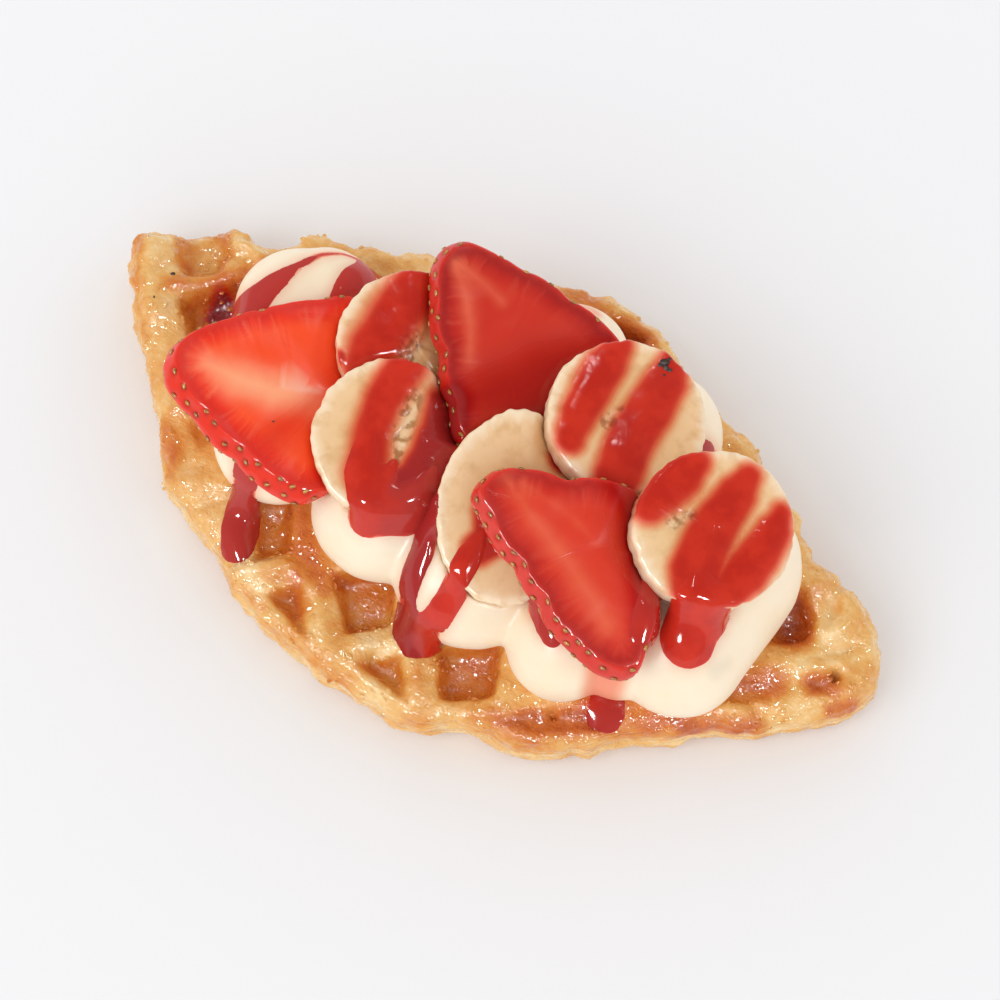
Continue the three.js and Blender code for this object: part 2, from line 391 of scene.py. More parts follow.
# %% The iron's pockets: depth, width of wall, corners of the mouth
POCKETS = [
    (3.6, 2.2, [(-22.0, -40.2), (-16.8, -35.0), (-8.5, -43.6), (-13.0, -42.8)]),
    (4.6, 1.9, [(-13.2, -30.0), (-2.6, -22.0), (2.6, -32.4), (-4.2, -38.9)]),
    (3.4, 2.0, [(0.2, -42.4), (7.2, -35.8), (13.0, -43.6)]),
    (4.6, 2.0, [(11.4, -31.2), (21.6, -23.6), (26.2, -33.6), (17.6, -40.0)]),
    (3.6, 2.0, [(-34.0, -25.0), (-27.6, -21.4), (-21.6, -31.0), (-27.0, -36.4)]),
    (4.8, 3.0, [(-70.0, 0.0), (-60.6, 10.4), (-52.0, 8.0), (-60.0, -9.0)]),
    (4.4, 3.2, [(-77.0, 8.6), (-80.4, 14.4), (-72.6, 22.0), (-64.4, 13.4), (-65.6, 7.6),
                (-71.6, 3.0)]),
    (4.6, 3.4, [(59.0, 10.0), (63.6, 15.6), (69.0, 13.0), (70.0, 6.6), (63.0, 2.0)]),
    (1.7, 2.4, [(26.6, -38.4), (33.0, -31.4), (44.0, -24.0), (49.0, -26.4), (36.0, -36.0)]),
    (1.6, 2.4, [(50.0, -19.0), (56.0, -8.0), (68.0, -2.6), (70.0, -6.0), (60.0, -14.0)]),
    (1.8, 2.0, [(72.6, 1.0), (75.8, 4.2), (78.4, 1.2), (75.2, -1.0)]),
    (4.2, 2.0, [(2.0, 42.4), (12.0, 43.0), (13.0, 36.0), (4.0, 37.0)]),
    (3.0, 2.0, [(48.0, 27.0), (54.0, 24.6), (52.0, 20.0), (47.0, 22.0)]),
    (2.0, 2.0, [(-53.6, -20.0), (-48.4, -24.0), (-45.8, -20.0), (-50.0, -16.0)]),
]
print("pockets:", len(POCKETS))


def pocket_share(points):
    """(depth in mm, share of the way down, how much of it is wall) at points in plan."""
    depth, down, wall = (np.zeros(len(points)) for _ in range(3))
    wander = 0.35 * noise(points * (1, 1, 0), 3.2, 14)
    for deep, slope, corners in POCKETS:
        away = inside_reach(points, corners) + wander
        share = 1 - step(-slope, 0.5, away)
        depth = np.maximum(depth, deep * share)
        down = np.maximum(down, share)
        wall = np.maximum(wall, 4 * share * (1 - share))
    return depth, down, wall


# %% Folds and creases: height in mm, softness, path
FOLDS = [
    (1.0, 1.6, [(-72.0, 1.6, 1.4), (-66.0, 6.6, 1.6), (-61.4, 12.4, 1.4), (-55.5, 18.0, 1.2)]),
    (1.1, 2.6, [(-80.6, 6.4, 2.6), (-76.6, 0.6, 2.4), (-72.0, -4.6, 2.2)]),
    (1.9, 1.2, [(-66.2, 11.6, 1.0), (-66.4, 14.4, 1.2), (-64.0, 16.6, 1.2), (-60.4, 15.4, 1.0)]),
    (-1.2, 0.9, [(-76.4, 2.6, 0.4), (-73.2, 6.2, 0.5)]),
    (-1.5, 1.1, [(-44.0, -36.0, 0.5), (-40.6, -31.4, 0.4), (-37.0, -28.2, 0.2)]),
    (1.0, 1.6, [(-47.0, -30.6, 1.6), (-42.4, -28.0, 1.5), (-38.4, -25.0, 1.2)]),
    (-1.8, 1.0, [(-31.2, -40.6, 0.6), (-28.2, -36.6, 0.5), (-24.0, -33.6, 0.3)]),
    (1.3, 1.4, [(-28.6, -39.4, 1.8), (-24.4, -36.0, 1.6), (-20.6, -33.4, 1.2)]),
    (-0.9, 0.8, [(-26.6, -42.4, 0.4), (-22.4, -40.8, 0.4), (-17.6, -44.6, 0.3)]),
    (0.8, 1.4, [(-17.6, -33.6, 1.0), (-12.4, -35.4, 1.0), (-7.0, -40.6, 1.2), (-4.0, -43.4, 1.4)]),
    (0.7, 1.4, [(-4.0, -41.0, 1.0), (1.6, -37.0, 1.2), (5.6, -33.6, 1.0)]),
    (0.9, 1.4, [(10.0, -35.6, 1.2), (14.6, -41.0, 1.4)]),
    (-1.0, 0.8, [(-1.0, -45.0, 0.3), (6.0, -45.4, 0.4), (12.0, -45.2, 0.3)]),
    (1.0, 1.6, [(22.0, -41.0, 1.4), (26.4, -37.4, 1.3), (25.8, -31.0, 1.2)]),
    (-1.3, 0.9, [(20.4, -45.6, 0.4), (22.4, -41.8, 0.5), (20.6, -38.6, 0.3)]),
    (1.4, 1.8, [(66.0, 0.4, 1.4), (71.6, 3.6, 1.6), (77.0, 6.8, 1.4)]),
    (-1.6, 0.9, [(70.4, 2.8, 0.3), (75.0, 8.0, 0.4), (78.0, 12.0, 0.3)]),
    (1.8, 2.0, [(72.6, 11.6, 1.6), (74.6, 16.4, 1.8), (71.0, 18.6, 1.6)]),
    (1.6, 1.6, [(65.2, 17.8, 1.8), (61.0, 17.6, 1.4)]),
    (-1.8, 1.0, [(68.8, 20.6, 0.4), (70.4, 16.0, 0.5), (71.0, 11.6, 0.3)]),
    (1.2, 1.8, [(80.6, 3.4, 1.6), (81.6, 9.6, 1.6), (78.6, 14.8, 1.4)]),
    (-1.4, 1.0, [(59.6, -11.6, 0.4), (65.4, -8.6, 0.4), (70.6, -9.6, 0.4)]),
    (1.2, 1.6, [(37.6, 33.0, 1.6), (44.0, 31.4, 1.6), (49.8, 29.6, 1.4)]),
    (-1.4, 1.0, [(46.6, 33.2, 0.5), (45.0, 29.6, 0.4)]),
    (-1.4, 1.0, [(57.6, 28.0, 0.5), (56.6, 23.4, 0.4)]),
    (1.2, 1.6, [(-55.0, 24.0, 1.6), (-48.0, 26.4, 1.6), (-40.0, 29.6, 1.5)]),
    (-1.5, 0.9, [(-47.0, 29.4, 0.4), (-46.0, 24.0, 0.4)]),
]
print("folds and creases:", len(FOLDS))

# %% Pressing, folding and tearing
SWELLS = [(0.5, 19, 1), (0.6, 8, 2), (0.34, 3.6, 3)]     # height, size, seed
LAYER_THICK = 2.3
points = points_of(croffle)
dough_outline = outline_of(points)
edge, along = nearest_on(points, dough_outline)
plan = points * (1, 1, 0)
upper = step(4, 12, points[:, 2])
depth, _, _ = pocket_share(points)
swell = sum(height * noise(plan, size, seed) for height, size, seed in SWELLS)
points[:, 2] += upper * (swell * step(0.5, 3, edge) + stroke_field(plan, FOLDS) - depth)
rim = 1 - step(1.0, 5.0, edge)
outward = normals_of(croffle) * (1, 1, 0)
left_end = 1 - step(-66, -50, points[:, 0])
line = np.column_stack([along, points[:, 2] * 0.4, edge * 0.3])
tear = 1.1 * noise(plan, 6.0, 5) + 0.75 * noise(line, 2.8, 6)
tear += left_end * 0.7 * noise(line, 2.0, 7)
layers = 0.62 * np.sin(2 * math.pi * (points[:, 2] / LAYER_THICK + 0.8 * noise(plan, 11, 7)))
points += outward * (rim * (tear + layers))[:, None]
set_points(croffle, points)
apply_modifier(croffle, "REMESH", mode="VOXEL", voxel_size=DOUGH_VOXEL * MM)
apply_modifier(croffle, "SMOOTH", factor=0.5, iterations=2)
print("dough faces:", len(croffle.data.polygons))

# %% Browned marks: amount, softness, path
BROWNED = [
    (-0.34, 3.0, [(-75.0, 14.0, 2.0), (-71.0, 11.0, 2.6)]),
    (0.16, 4.0, [(-30.0, -38.0, 1.0), (-16.0, -46.0, 1.2), (2.0, -46.6, 1.0)]),
    (0.3, 2.0, [(16.0, -45.6, 1.0), (26.0, -44.0, 1.2), (40.0, -37.0, 1.2)]),
    (0.34, 2.2, [(54.0, -21.4, 2.2), (60.4, -17.0, 2.6), (68.0, -12.0, 2.2)]),
    (0.2, 2.4, [(8.0, -32.0, 1.6), (12.0, -38.0, 1.2)]),
    (0.42, 2.4, [(-72.4, 1.2, 1.2), (-66.0, 5.6, 2.2), (-60.6, 10.6, 2.6), (-54.0, 17.0, 2.6)]),
    (0.3, 2.0, [(-83.6, 6.6, 1.2), (-78.4, -1.8, 0.9), (-70.4, -10.0, 0.6)]),
    (0.3, 1.8, [(-56.8, -22.0, 1.4), (-52.6, -26.6, 1.9), (-48.4, -31.0, 1.4)]),
    (0.48, 3.0, [(-25.0, -22.0, 3.0), (-19.6, -29.0, 3.4), (-13.6, -32.4, 2.2)]),
    (0.3, 1.5, [(-23.6, -38.0, 1.0), (-18.8, -35.0, 1.2), (-13.4, -38.6, 1.2)]),
    (0.36, 2.6, [(26.0, -38.6, 2.2), (33.8, -34.0, 2.8), (40.3, -30.0, 3.2), (48.9, -23.0, 3.2),
                 (55.0, -15.0, 3.2)]),
    (0.2, 2.4, [(39.6, -29.0, 2.6), (42.6, -26.6, 2.6)]),
    (0.5, 2.4, [(55.6, -10.0, 2.8), (62.0, -5.6, 3.2), (68.2, -3.4, 2.6)]),
    (0.55, 1.8, [(74.0, 0.6, 1.6), (77.4, 2.6, 1.8)]),
    (0.5, 2.2, [(63.4, 12.4, 2.6), (67.6, 7.2, 2.8)]),
    (0.34, 1.4, [(58.6, -19.2, 1.2), (64.0, -16.6, 1.4), (70.6, -10.8, 1.0)]),
    (0.6, 1.4, [(79.6, -1.2, 0.8), (83.2, 1.8, 1.0)]),
    (0.36, 2.0, [(-6.0, 42.6, 2.0), (2.0, 43.0, 2.0)]),
    (0.6, 2.0, [(7.0, 41.6, 2.4), (12.0, 40.8, 2.6)]),
    (0.3, 2.0, [(50.0, 25.6, 2.0), (54.0, 23.0, 2.0)]),
    (-0.2, 2.4, [(-29.0, -38.0, 2.0), (-25.0, -38.6, 2.4)]),
    (-0.16, 2.4, [(-1.0, -39.6, 1.6), (4.0, -35.6, 1.4)]),
    (-0.16, 2.4, [(70.0, 13.0, 3.0), (74.0, 8.0, 3.0), (70.0, 3.0, 2.0)]),
]
print("browned marks:", len(BROWNED))

# %% What the dough's finish reads
DEEP_BROWN = 0.52     # from here on, browning slows down


def mark_dough(piece):
    """How brown each point is, how much it is the outer side, and its place on that side."""
    points = points_of(piece)
    edge, along = nearest_on(points, dough_outline)
    depth, _, wall = pocket_share(points)
    top = step(7, 10, points[:, 2] + depth)
    side = (1 - step(0.35, 0.8, np.abs(normals_of(piece)[:, 2]))) * (1 - step(2.5, 5, edge))
    brown = 0.22 + 0.13 * noise(points, 9, 11) + 0.1 * noise(points, 3.4, 12)
    brown += top * (0.075 * depth + 0.14 * wall + stroke_field(points, BROWNED))
    brown -= 0.04 * side
    brown = np.where(brown > DEEP_BROWN, DEEP_BROWN + (brown - DEEP_BROWN) * 0.6, brown)
    brown += (1 - step(0.5, 4.0, points[:, 2])) * 0.12
    store(piece, "brown", brown)
    store(piece, "side", side)
    store(piece, "grain", np.column_stack([along, edge, points[:, 2]]))


mark_dough(croffle)
smooth_shaded(croffle)
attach(croffle, "root")
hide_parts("croffle")
print("browning, 0 pale to 1 dark, on average:", round(stored(croffle, "brown").mean(), 2))

# %% [markdown]
# ## The slices
# A slice is one chain of rings: a ring at the middle of the underside grows out to the rim,
# turns over its rounded edge and closes in over the top. Each ring is extruded from the last
# and scaled, as it would be by hand. A cylinder with a bevel could be a banana slice, but rings
# also fit a strawberry's outline and leave even faces for fine shaping. The outlines are closed
# curves through a few points.

# %% Outlines
RING_POINTS = 240
RING_TURNS = np.linspace(-math.pi, math.pi, RING_POINTS, endpoint=False)


def turned(x, y, angle):
    c, s = math.cos(angle), math.sin(angle)
    return c * x - s * y, s * x + c * y


def round_outline(corners):
    """An even closed curve through the corners, each next one at an even turn."""
    corners = np.array(corners, float)
    around = np.arctan2(corners[:, 1], corners[:, 0])
    order = np.argsort(around)
    around, reach = around[order], np.hypot(*corners[order].T)
    wide = np.concatenate([around - 2 * math.pi, around, around + 2 * math.pi])
    reach = np.interp(RING_TURNS, wide, np.tile(reach, 3))
    for _ in range(3):
        reach = (np.roll(reach, 1) + 2 * reach + np.roll(reach, -1)) / 4
    return np.stack([reach * np.cos(RING_TURNS), reach * np.sin(RING_TURNS)], 1)


def oval_outline(wide, tall, turn, seed):
    """A slightly uneven oval, two half widths, turned by an angle in degrees."""
    ring = np.stack([np.cos(RING_TURNS), np.sin(RING_TURNS), np.zeros(RING_POINTS)], 1)
    wobble = 1 + 0.028 * noise(ring * 10, 3.4, seed) + 0.018 * noise(ring * 10, 1.1, seed + 1)
    x, y = wide * wobble * np.cos(RING_TURNS), tall * wobble * np.sin(RING_TURNS)
    return np.stack(turned(x, y, math.radians(turn)), 1)


# %% A slab built ring by ring
def slab(name, outline, rings):
    """rings: (drawn in from the outline, height) from the underside's middle to the top's."""
    mean = np.hypot(*outline.T).mean()
    scale = [max(1 - drawn / mean, 0.02) for drawn, _ in rings]
    deselect()
    bpy.ops.mesh.primitive_circle_add(vertices=RING_POINTS, radius=1, fill_type="NOTHING")
    piece = added(name)
    set_points(piece, np.column_stack([outline * scale[0], np.full(RING_POINTS, rings[0][1])]))
    bpy.ops.object.mode_set(mode="EDIT")
    bpy.ops.mesh.select_all(action="SELECT")
    bpy.ops.mesh.edge_face_add()
    for before, after, (_, low), (_, high) in zip(scale, scale[1:], rings, rings[1:]):
        bpy.ops.mesh.extrude_region_move(
            TRANSFORM_OT_translate={"value": (0, 0, (high - low) * MM)})
        grow = after / before
        bpy.ops.transform.resize(value=(grow, grow, 1), center_override=(0, 0, high * MM))
    bpy.ops.mesh.select_all(action="SELECT")
    bpy.ops.mesh.normals_make_consistent(inside=False)
    bpy.ops.object.mode_set(mode="OBJECT")
    return piece


def spokes(piece, outline):
    """For each point: how far out it is (1 at the outline) and its direction."""
    points = points_of(piece)
    turns = np.arctan2(points[:, 1], points[:, 0])
    around = np.arctan2(outline[:, 1], outline[:, 0])
    order = np.argsort(around)
    limit = np.interp(turns, around[order], np.hypot(*outline[order].T), period=2 * math.pi)
    out = np.hypot(points[:, 0], points[:, 1]) / limit
    return out, np.stack([np.cos(turns), np.sin(turns)], 1)


# %% [markdown]
# The slices lie tilted on the cream and on each other. `lay` turns a finished slice to its
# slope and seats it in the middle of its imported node's box.

# %% Laying a slice
def lay(piece, node, slope, shift=(0, 0, 0)):
    low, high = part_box(node)
    middle = np.array((low + high) / 2) / MM + shift
    lift = Vector((-slope[0], -slope[1], 1)).normalized()
    turn = np.array(Vector((0, 0, 1)).rotation_difference(lift).to_matrix())
    set_points(piece, points_of(piece) @ turn.T + middle)
    piece["slope_x"], piece["slope_y"] = slope
    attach(piece, "root")
    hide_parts(node)


# %% Banana slices
BANANA_THICK = 6.0
BANANA_RIM = 0.9      # radius of the rounded edge
BANANAS = {  # two half widths, turn, slope along X and Y
    "banana_slice_1": (15.1, 14.6, 20, (-0.13, 0.02)),
    "banana_slice_2": (14.5, 14.9, 0, (-0.15, 0.14)),
    "banana_slice_3": (18.2, 14.6, -73, (-0.14, 0.2)),
    "banana_slice_4": (14.8, 14.9, 40, (-0.14, -0.06)),
    "banana_slice_5": (14.9, 14.4, 65, (-0.2, 0.03)),
}


def banana_rings():
    half = BANANA_THICK / 2
    under = [(drawn, -half) for drawn in (14.0, 9.0, 4.0)]
    rim = []
    for angle in (0, 22, 45, 67, 90):
        a = math.radians(angle)
        rim.append((BANANA_RIM * (1 - math.sin(a)), -half + BANANA_RIM * (1 - math.cos(a))))
    side = [(0.0, height) for height in (-1.2, 0.0, 1.0)]
    upper_rim = [(drawn, -height) for drawn, height in reversed(rim)]
    top = [(drawn, half) for drawn in np.linspace(BANANA_RIM + 0.6, 14.2, 20)]
    return under + rim + side + upper_rim + top


slices = {}
for seed, (node, (wide, tall, turn, slope)) in enumerate(BANANAS.items()):
    outline = oval_outline(wide, tall, turn, 20 + seed)
    piece = slab(node.replace("slice", "round"), outline, banana_rings())
    out, facing = spokes(piece, outline)
    flat = points_of(piece)
    top_face = flat[:, 2] > BANANA_THICK / 2 - 0.05
    flat[:, 2] += top_face * (0.16 * noise(flat, 5.0, 30 + seed) - 0.12 * (1 - step(0, 0.35, out)))
    set_points(piece, flat)
    store(piece, "out", out)
    store(piece, "spoke", np.column_stack([facing, out]))
    store(piece, "flat", flat)
    lay(piece, node, slope)
    smooth_shaded(piece)
    slices[node] = piece
print("banana faces:", len(piece.data.polygons))

# %% Strawberry outlines
BERRY_THICK = 5.6
CUT_EDGE = 1.1        # how far the skin draws in from the widest line to the cut face
FACE_RINGS = 26       # rings on the cut face inside its edge
BERRIES = {  # outline corners from the slice's middle, slope along X and Y, lean of the skin
    "strawberry_slice_1": ([
        (-20.5, -10.5), (-21.6, -6.9), (-20, -2.4), (-16.4, 2.2), (-12, 7.6), (-8.6, 11.5),
        (-4, 15.5), (0, 19.5), (5, 21), (12, 16), (18, 7), (20.5, -4), (18.8, -13.6),
        (16.2, -18.4), (8.4, -19.4), (1, -17.8), (-9.8, -15.4), (-18.2, -12.8)],
        (-0.04, -0.02), (0.8, 1.7)),
    "strawberry_slice_2": ([
        (-19, 5.3), (-20.4, 8), (-20.6, 12.3), (-18.6, 15.2), (-12.2, 16.3), (-7, 16.4),
        (4, 16.6), (12.8, 16.3), (17.6, 14.9), (19.5, 8), (18.5, 1), (15, -7), (9, -14),
        (2, -17.8), (-2.6, -12.6), (-9.6, -5.4), (-16.4, 1.8)],
        (-0.12, 0.04), (0.9, 0.5)),
    "strawberry_slice_3": ([
        (-21.6, -1.2), (-22, 1.5), (-20.8, 5), (-16.2, 8), (-9.6, 9.7), (-6.6, 12.4),
        (-1.8, 14.6), (4.5, 15.8), (11, 14.6), (15.5, 9), (17, 1), (19.8, -8.1),
        (21, -11.6), (19, -14.2), (13.8, -15.2), (8, -14.2), (-0.8, -10.4), (-8, -7.2),
        (-17.5, -3.2)],
        (-0.12, 0.13), (0.5, 1.4)),
}
print("strawberry slices:", len(BERRIES))


# %% Strawberry slices
def berry_rings():
    half = BERRY_THICK / 2
    under = [(drawn, -half) for drawn in (15.0, 9.0, 5.0, 2.6)]
    skin = [(1.4, -half + 0.25), (0.6, -half + 0.8), (0.15, -half + 1.6), (0.0, -half + 2.3)]
    for angle in np.linspace(12, 76, 8):
        a = math.radians(angle)
        skin.append((CUT_EDGE * (1 - math.cos(a)), -0.5 + (half + 0.5) * math.sin(a)))
    edge = [(CUT_EDGE - 0.15, half - 0.03), (CUT_EDGE + 0.2, half)]
    top = [(drawn, half) for drawn in np.linspace(CUT_EDGE + 0.7, 15.8, FACE_RINGS)]
    return under + skin + edge + top


for seed, (node, (corners, slope, lean)) in enumerate(BERRIES.items()):
    piece = slab(node.replace("slice", "cut"), round_outline(corners), berry_rings())
    flat = points_of(piece)
    cut_start = len(flat) - (FACE_RINGS + 1) * RING_POINTS
    top_face = (np.arange(len(flat)) >= cut_start).astype(float)
    inset, arc = nearest_on(flat, flat[cut_start:cut_start + RING_POINTS, :2])
    rise = step(-0.8, BERRY_THICK / 2, flat[:, 2])
    flat[:, :2] += rise[:, None] * lean
    flat[:, 2] += top_face * step(0, 1.5, inset) * (
        0.25 * noise(flat, 6.0, 40 + seed) + 0.04 * noise(np.column_stack(
            [arc, inset * 0.1, arc * 0]), 1.6, 44 + seed))
    skin_bumps = (1 - top_face) * 0.12 * noise(flat, 2.4, 47 + seed)
    flat += normals_of(piece) * skin_bumps[:, None]
    set_points(piece, flat)
    store(piece, "flat", flat)
    store(piece, "fibre", np.column_stack([arc, inset, 0 * arc]))
    store(piece, "inset", inset)
    store(piece, "face", top_face)
    lay(piece, node, slope, (-lean[0] / 2, -lean[1] / 2, 0))
    smooth_shaded(piece)
    slices[node] = piece
print("strawberry faces:", len(piece.data.polygons))

# %% [markdown]
# ## Pressing the slices into each other
# Each slice gives way under those laid on it. A soft body simulation could press them, but rays
# are quicker and leave no overlap: a ray goes up from below each point to find the lowest slice
# above it, and the point's share of its own slice's thickness is squeezed to fit.

# %% Rays that look up or down
UP, DOWN = 1, -1


def tree_of(pieces):
    verts, faces, start = [], [], 0
    for piece in pieces:
        verts += [v.co.copy() for v in piece.data.vertices]
        faces += [[start + v for v in p.vertices] for p in piece.data.polygons]
        start = len(verts)
    return BVHTree.FromPolygons(verts, faces)


def first_met(points, tree, start, way):
    """Heights of the first surface met from a height, up or down, and which face it is."""
    heights = np.full(len(points), way * np.inf)
    faces = np.zeros(len(points), int)
    for index, (x, y) in enumerate(points[:, :2]):
        spot, _, face, _ = tree.ray_cast(Vector((x * MM, y * MM, start * MM)), Vector((0, 0, way)))
        if spot:
            heights[index], faces[index] = spot.z / MM, face
    return heights, faces


def ceiling_over(points, tree):
    """Height in mm of the first surface met going up from the floor, or infinity."""
    return first_met(points, tree, 0, UP)[0]


# %% Squeezing
LAID_ORDER = ["strawberry_slice_1", "banana_slice_1", "banana_slice_2", "strawberry_slice_2",
              "banana_slice_3", "banana_slice_4", "strawberry_slice_3", "banana_slice_5"]
PRESS_GAP = 0.12
LEAST_THICK = 1.2
PRESS_SPREAD = 60     # rounds in which a slice gives way next to the one lying on it
for index in range(len(LAID_ORDER) - 2, -1, -1):
    piece = slices[LAID_ORDER[index]]
    tree = tree_of([slices[name] for name in LAID_ORDER[index + 1:]])
    points = points_of(piece)
    ceiling = ceiling_over(points, tree) - PRESS_GAP
    middle = points.mean(0)
    thick = BANANA_THICK if "banana" in piece.name else BERRY_THICK
    plane = (middle[2] + piece["slope_x"] * (points[:, 0] - middle[0])
             + piece["slope_y"] * (points[:, 1] - middle[1]))
    low, high = plane - thick / 2, plane + thick / 2
    under = ceiling < high
    squeezed_high = np.where(under, ceiling, high)
    squeezed_low = np.minimum(low, squeezed_high - LEAST_THICK)
    share = (points[:, 2] - low) / (high - low)
    pressed = np.where(under, squeezed_low + share * (squeezed_high - squeezed_low),
                       points[:, 2])
    needed = (pressed - points[:, 2]).reshape(-1, RING_POINTS)
    drop = needed.copy()
    for _ in range(PRESS_SPREAD):
        inner = np.pad(drop, ((1, 1), (0, 0)), mode="edge")
        spread = (2 * drop + inner[:-2] + inner[2:] + np.roll(drop, 1, 1)
                  + np.roll(drop, -1, 1)) / 6
        drop = np.minimum(spread, needed)
    points[:, 2] += drop.ravel()
    set_points(piece, points)
print("slices pressed:", len(LAID_ORDER) - 1)

# %% [markdown]
# ## The cream
# Each lobe was piped from back to front, so it is a run of balls that swell towards its front
# end. Two short runs only widen the lobes beside them. The balls are joined by a voxel remesh,
# which leaves no seams as a plain join would, and smoothed. The slices press into the top.

# %% Piping the lobes
CREAM_WAIST = 19.5
CREAM_VOXEL = 0.75
BALLS_PER_LOBE = 9
LOBES = [  # back end, front end, width at each, height over the waist
    ((-46.3, 8.6), (-35, -14.5), 12.8, 13.0, 9.5),
    ((-43.0, 12.6), (-38.0, 4.0), 11.4, 10.0, 9.0),
    ((-17, 18), (-9.8, -14.8), 12.0, 14.7, 11.5),
    ((3, 29), (9.8, -16.6), 11.0, 15.2, 13.0),
    ((25, 24.4), (32, -19.4), 12.6, 10.6, 15.0),
    ((49.5, 9.5), (50.6, -8.4), 14.4, 12.6, 17.0),
    ((40.0, -8.0), (41.6, -15.4), 9.0, 8.4, 11.0),
]
balls = []
for back_end, front_end, back_wide, front_wide, tall in LOBES:
    for share in np.linspace(0, 1, BALLS_PER_LOBE):
        deselect()
        x, y, wide = (start + (end - start) * share for start, end in zip(
            (*back_end, back_wide), (*front_end, front_wide)))
        rise = tall * wide / max(back_wide, front_wide)
        bpy.ops.mesh.primitive_uv_sphere_add(
            segments=40, ring_count=20, radius=MM, location=(x * MM, y * MM, CREAM_WAIST * MM),
            scale=(wide, wide, rise))
        balls.append(bpy.context.object)
cream = join("piped_cream", balls)
bpy.ops.object.transform_apply(location=True, rotation=True, scale=True)
apply_modifier(cream, "REMESH", mode="VOXEL", voxel_size=CREAM_VOXEL * MM)
apply_modifier(cream, "SMOOTH", factor=0.5, iterations=8)
print("cream faces:", len(cream.data.polygons))

# %% Settling the cream on the dough and under the slices
SUNK = 0.15           # how far the cream sinks into the dough
OVERHANG = 13.0       # lowest height where there is no dough below
ABOVE_DOUGH = 40.0
points = points_of(cream)
points += normals_of(cream) * (0.35 * noise(points, 13, 50) + 0.12 * noise(points, 5, 51))[:, None]
ground = first_met(points, tree_of([croffle]), ABOVE_DOUGH, DOWN)[0] - SUNK
points[:, 2] = np.maximum(points[:, 2], np.where(np.isfinite(ground), ground, OVERHANG))
ceiling = ceiling_over(points, tree_of(list(slices.values()))) - PRESS_GAP
points[:, 2] = np.minimum(points[:, 2], ceiling)
set_points(cream, points)
apply_modifier(cream, "SMOOTH", factor=0.35, iterations=2)
smooth_shaded(cream)
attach(cream, "root")
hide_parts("cream")
print("cream top, mm:", round(points_of(cream)[:, 2].max(), 1))

# %% [markdown]
# ## The sauce
# Sauce poured from a spoon could be a fluid simulation, but that is slow and hard to steer. It
# lies in strokes, which can be drawn: soft and thin on the bananas, thick with a rounded
# edge where it drips over a rim onto the cream or runs along a strawberry. Each stroke is a line
# of points with a half width. Soft strokes raise and colour the surface that they lie on. The
# others are turned into one thickness over a fine grid, laid on the surface below and given an
# underside a little inside it, so the wet edge is a clean line.

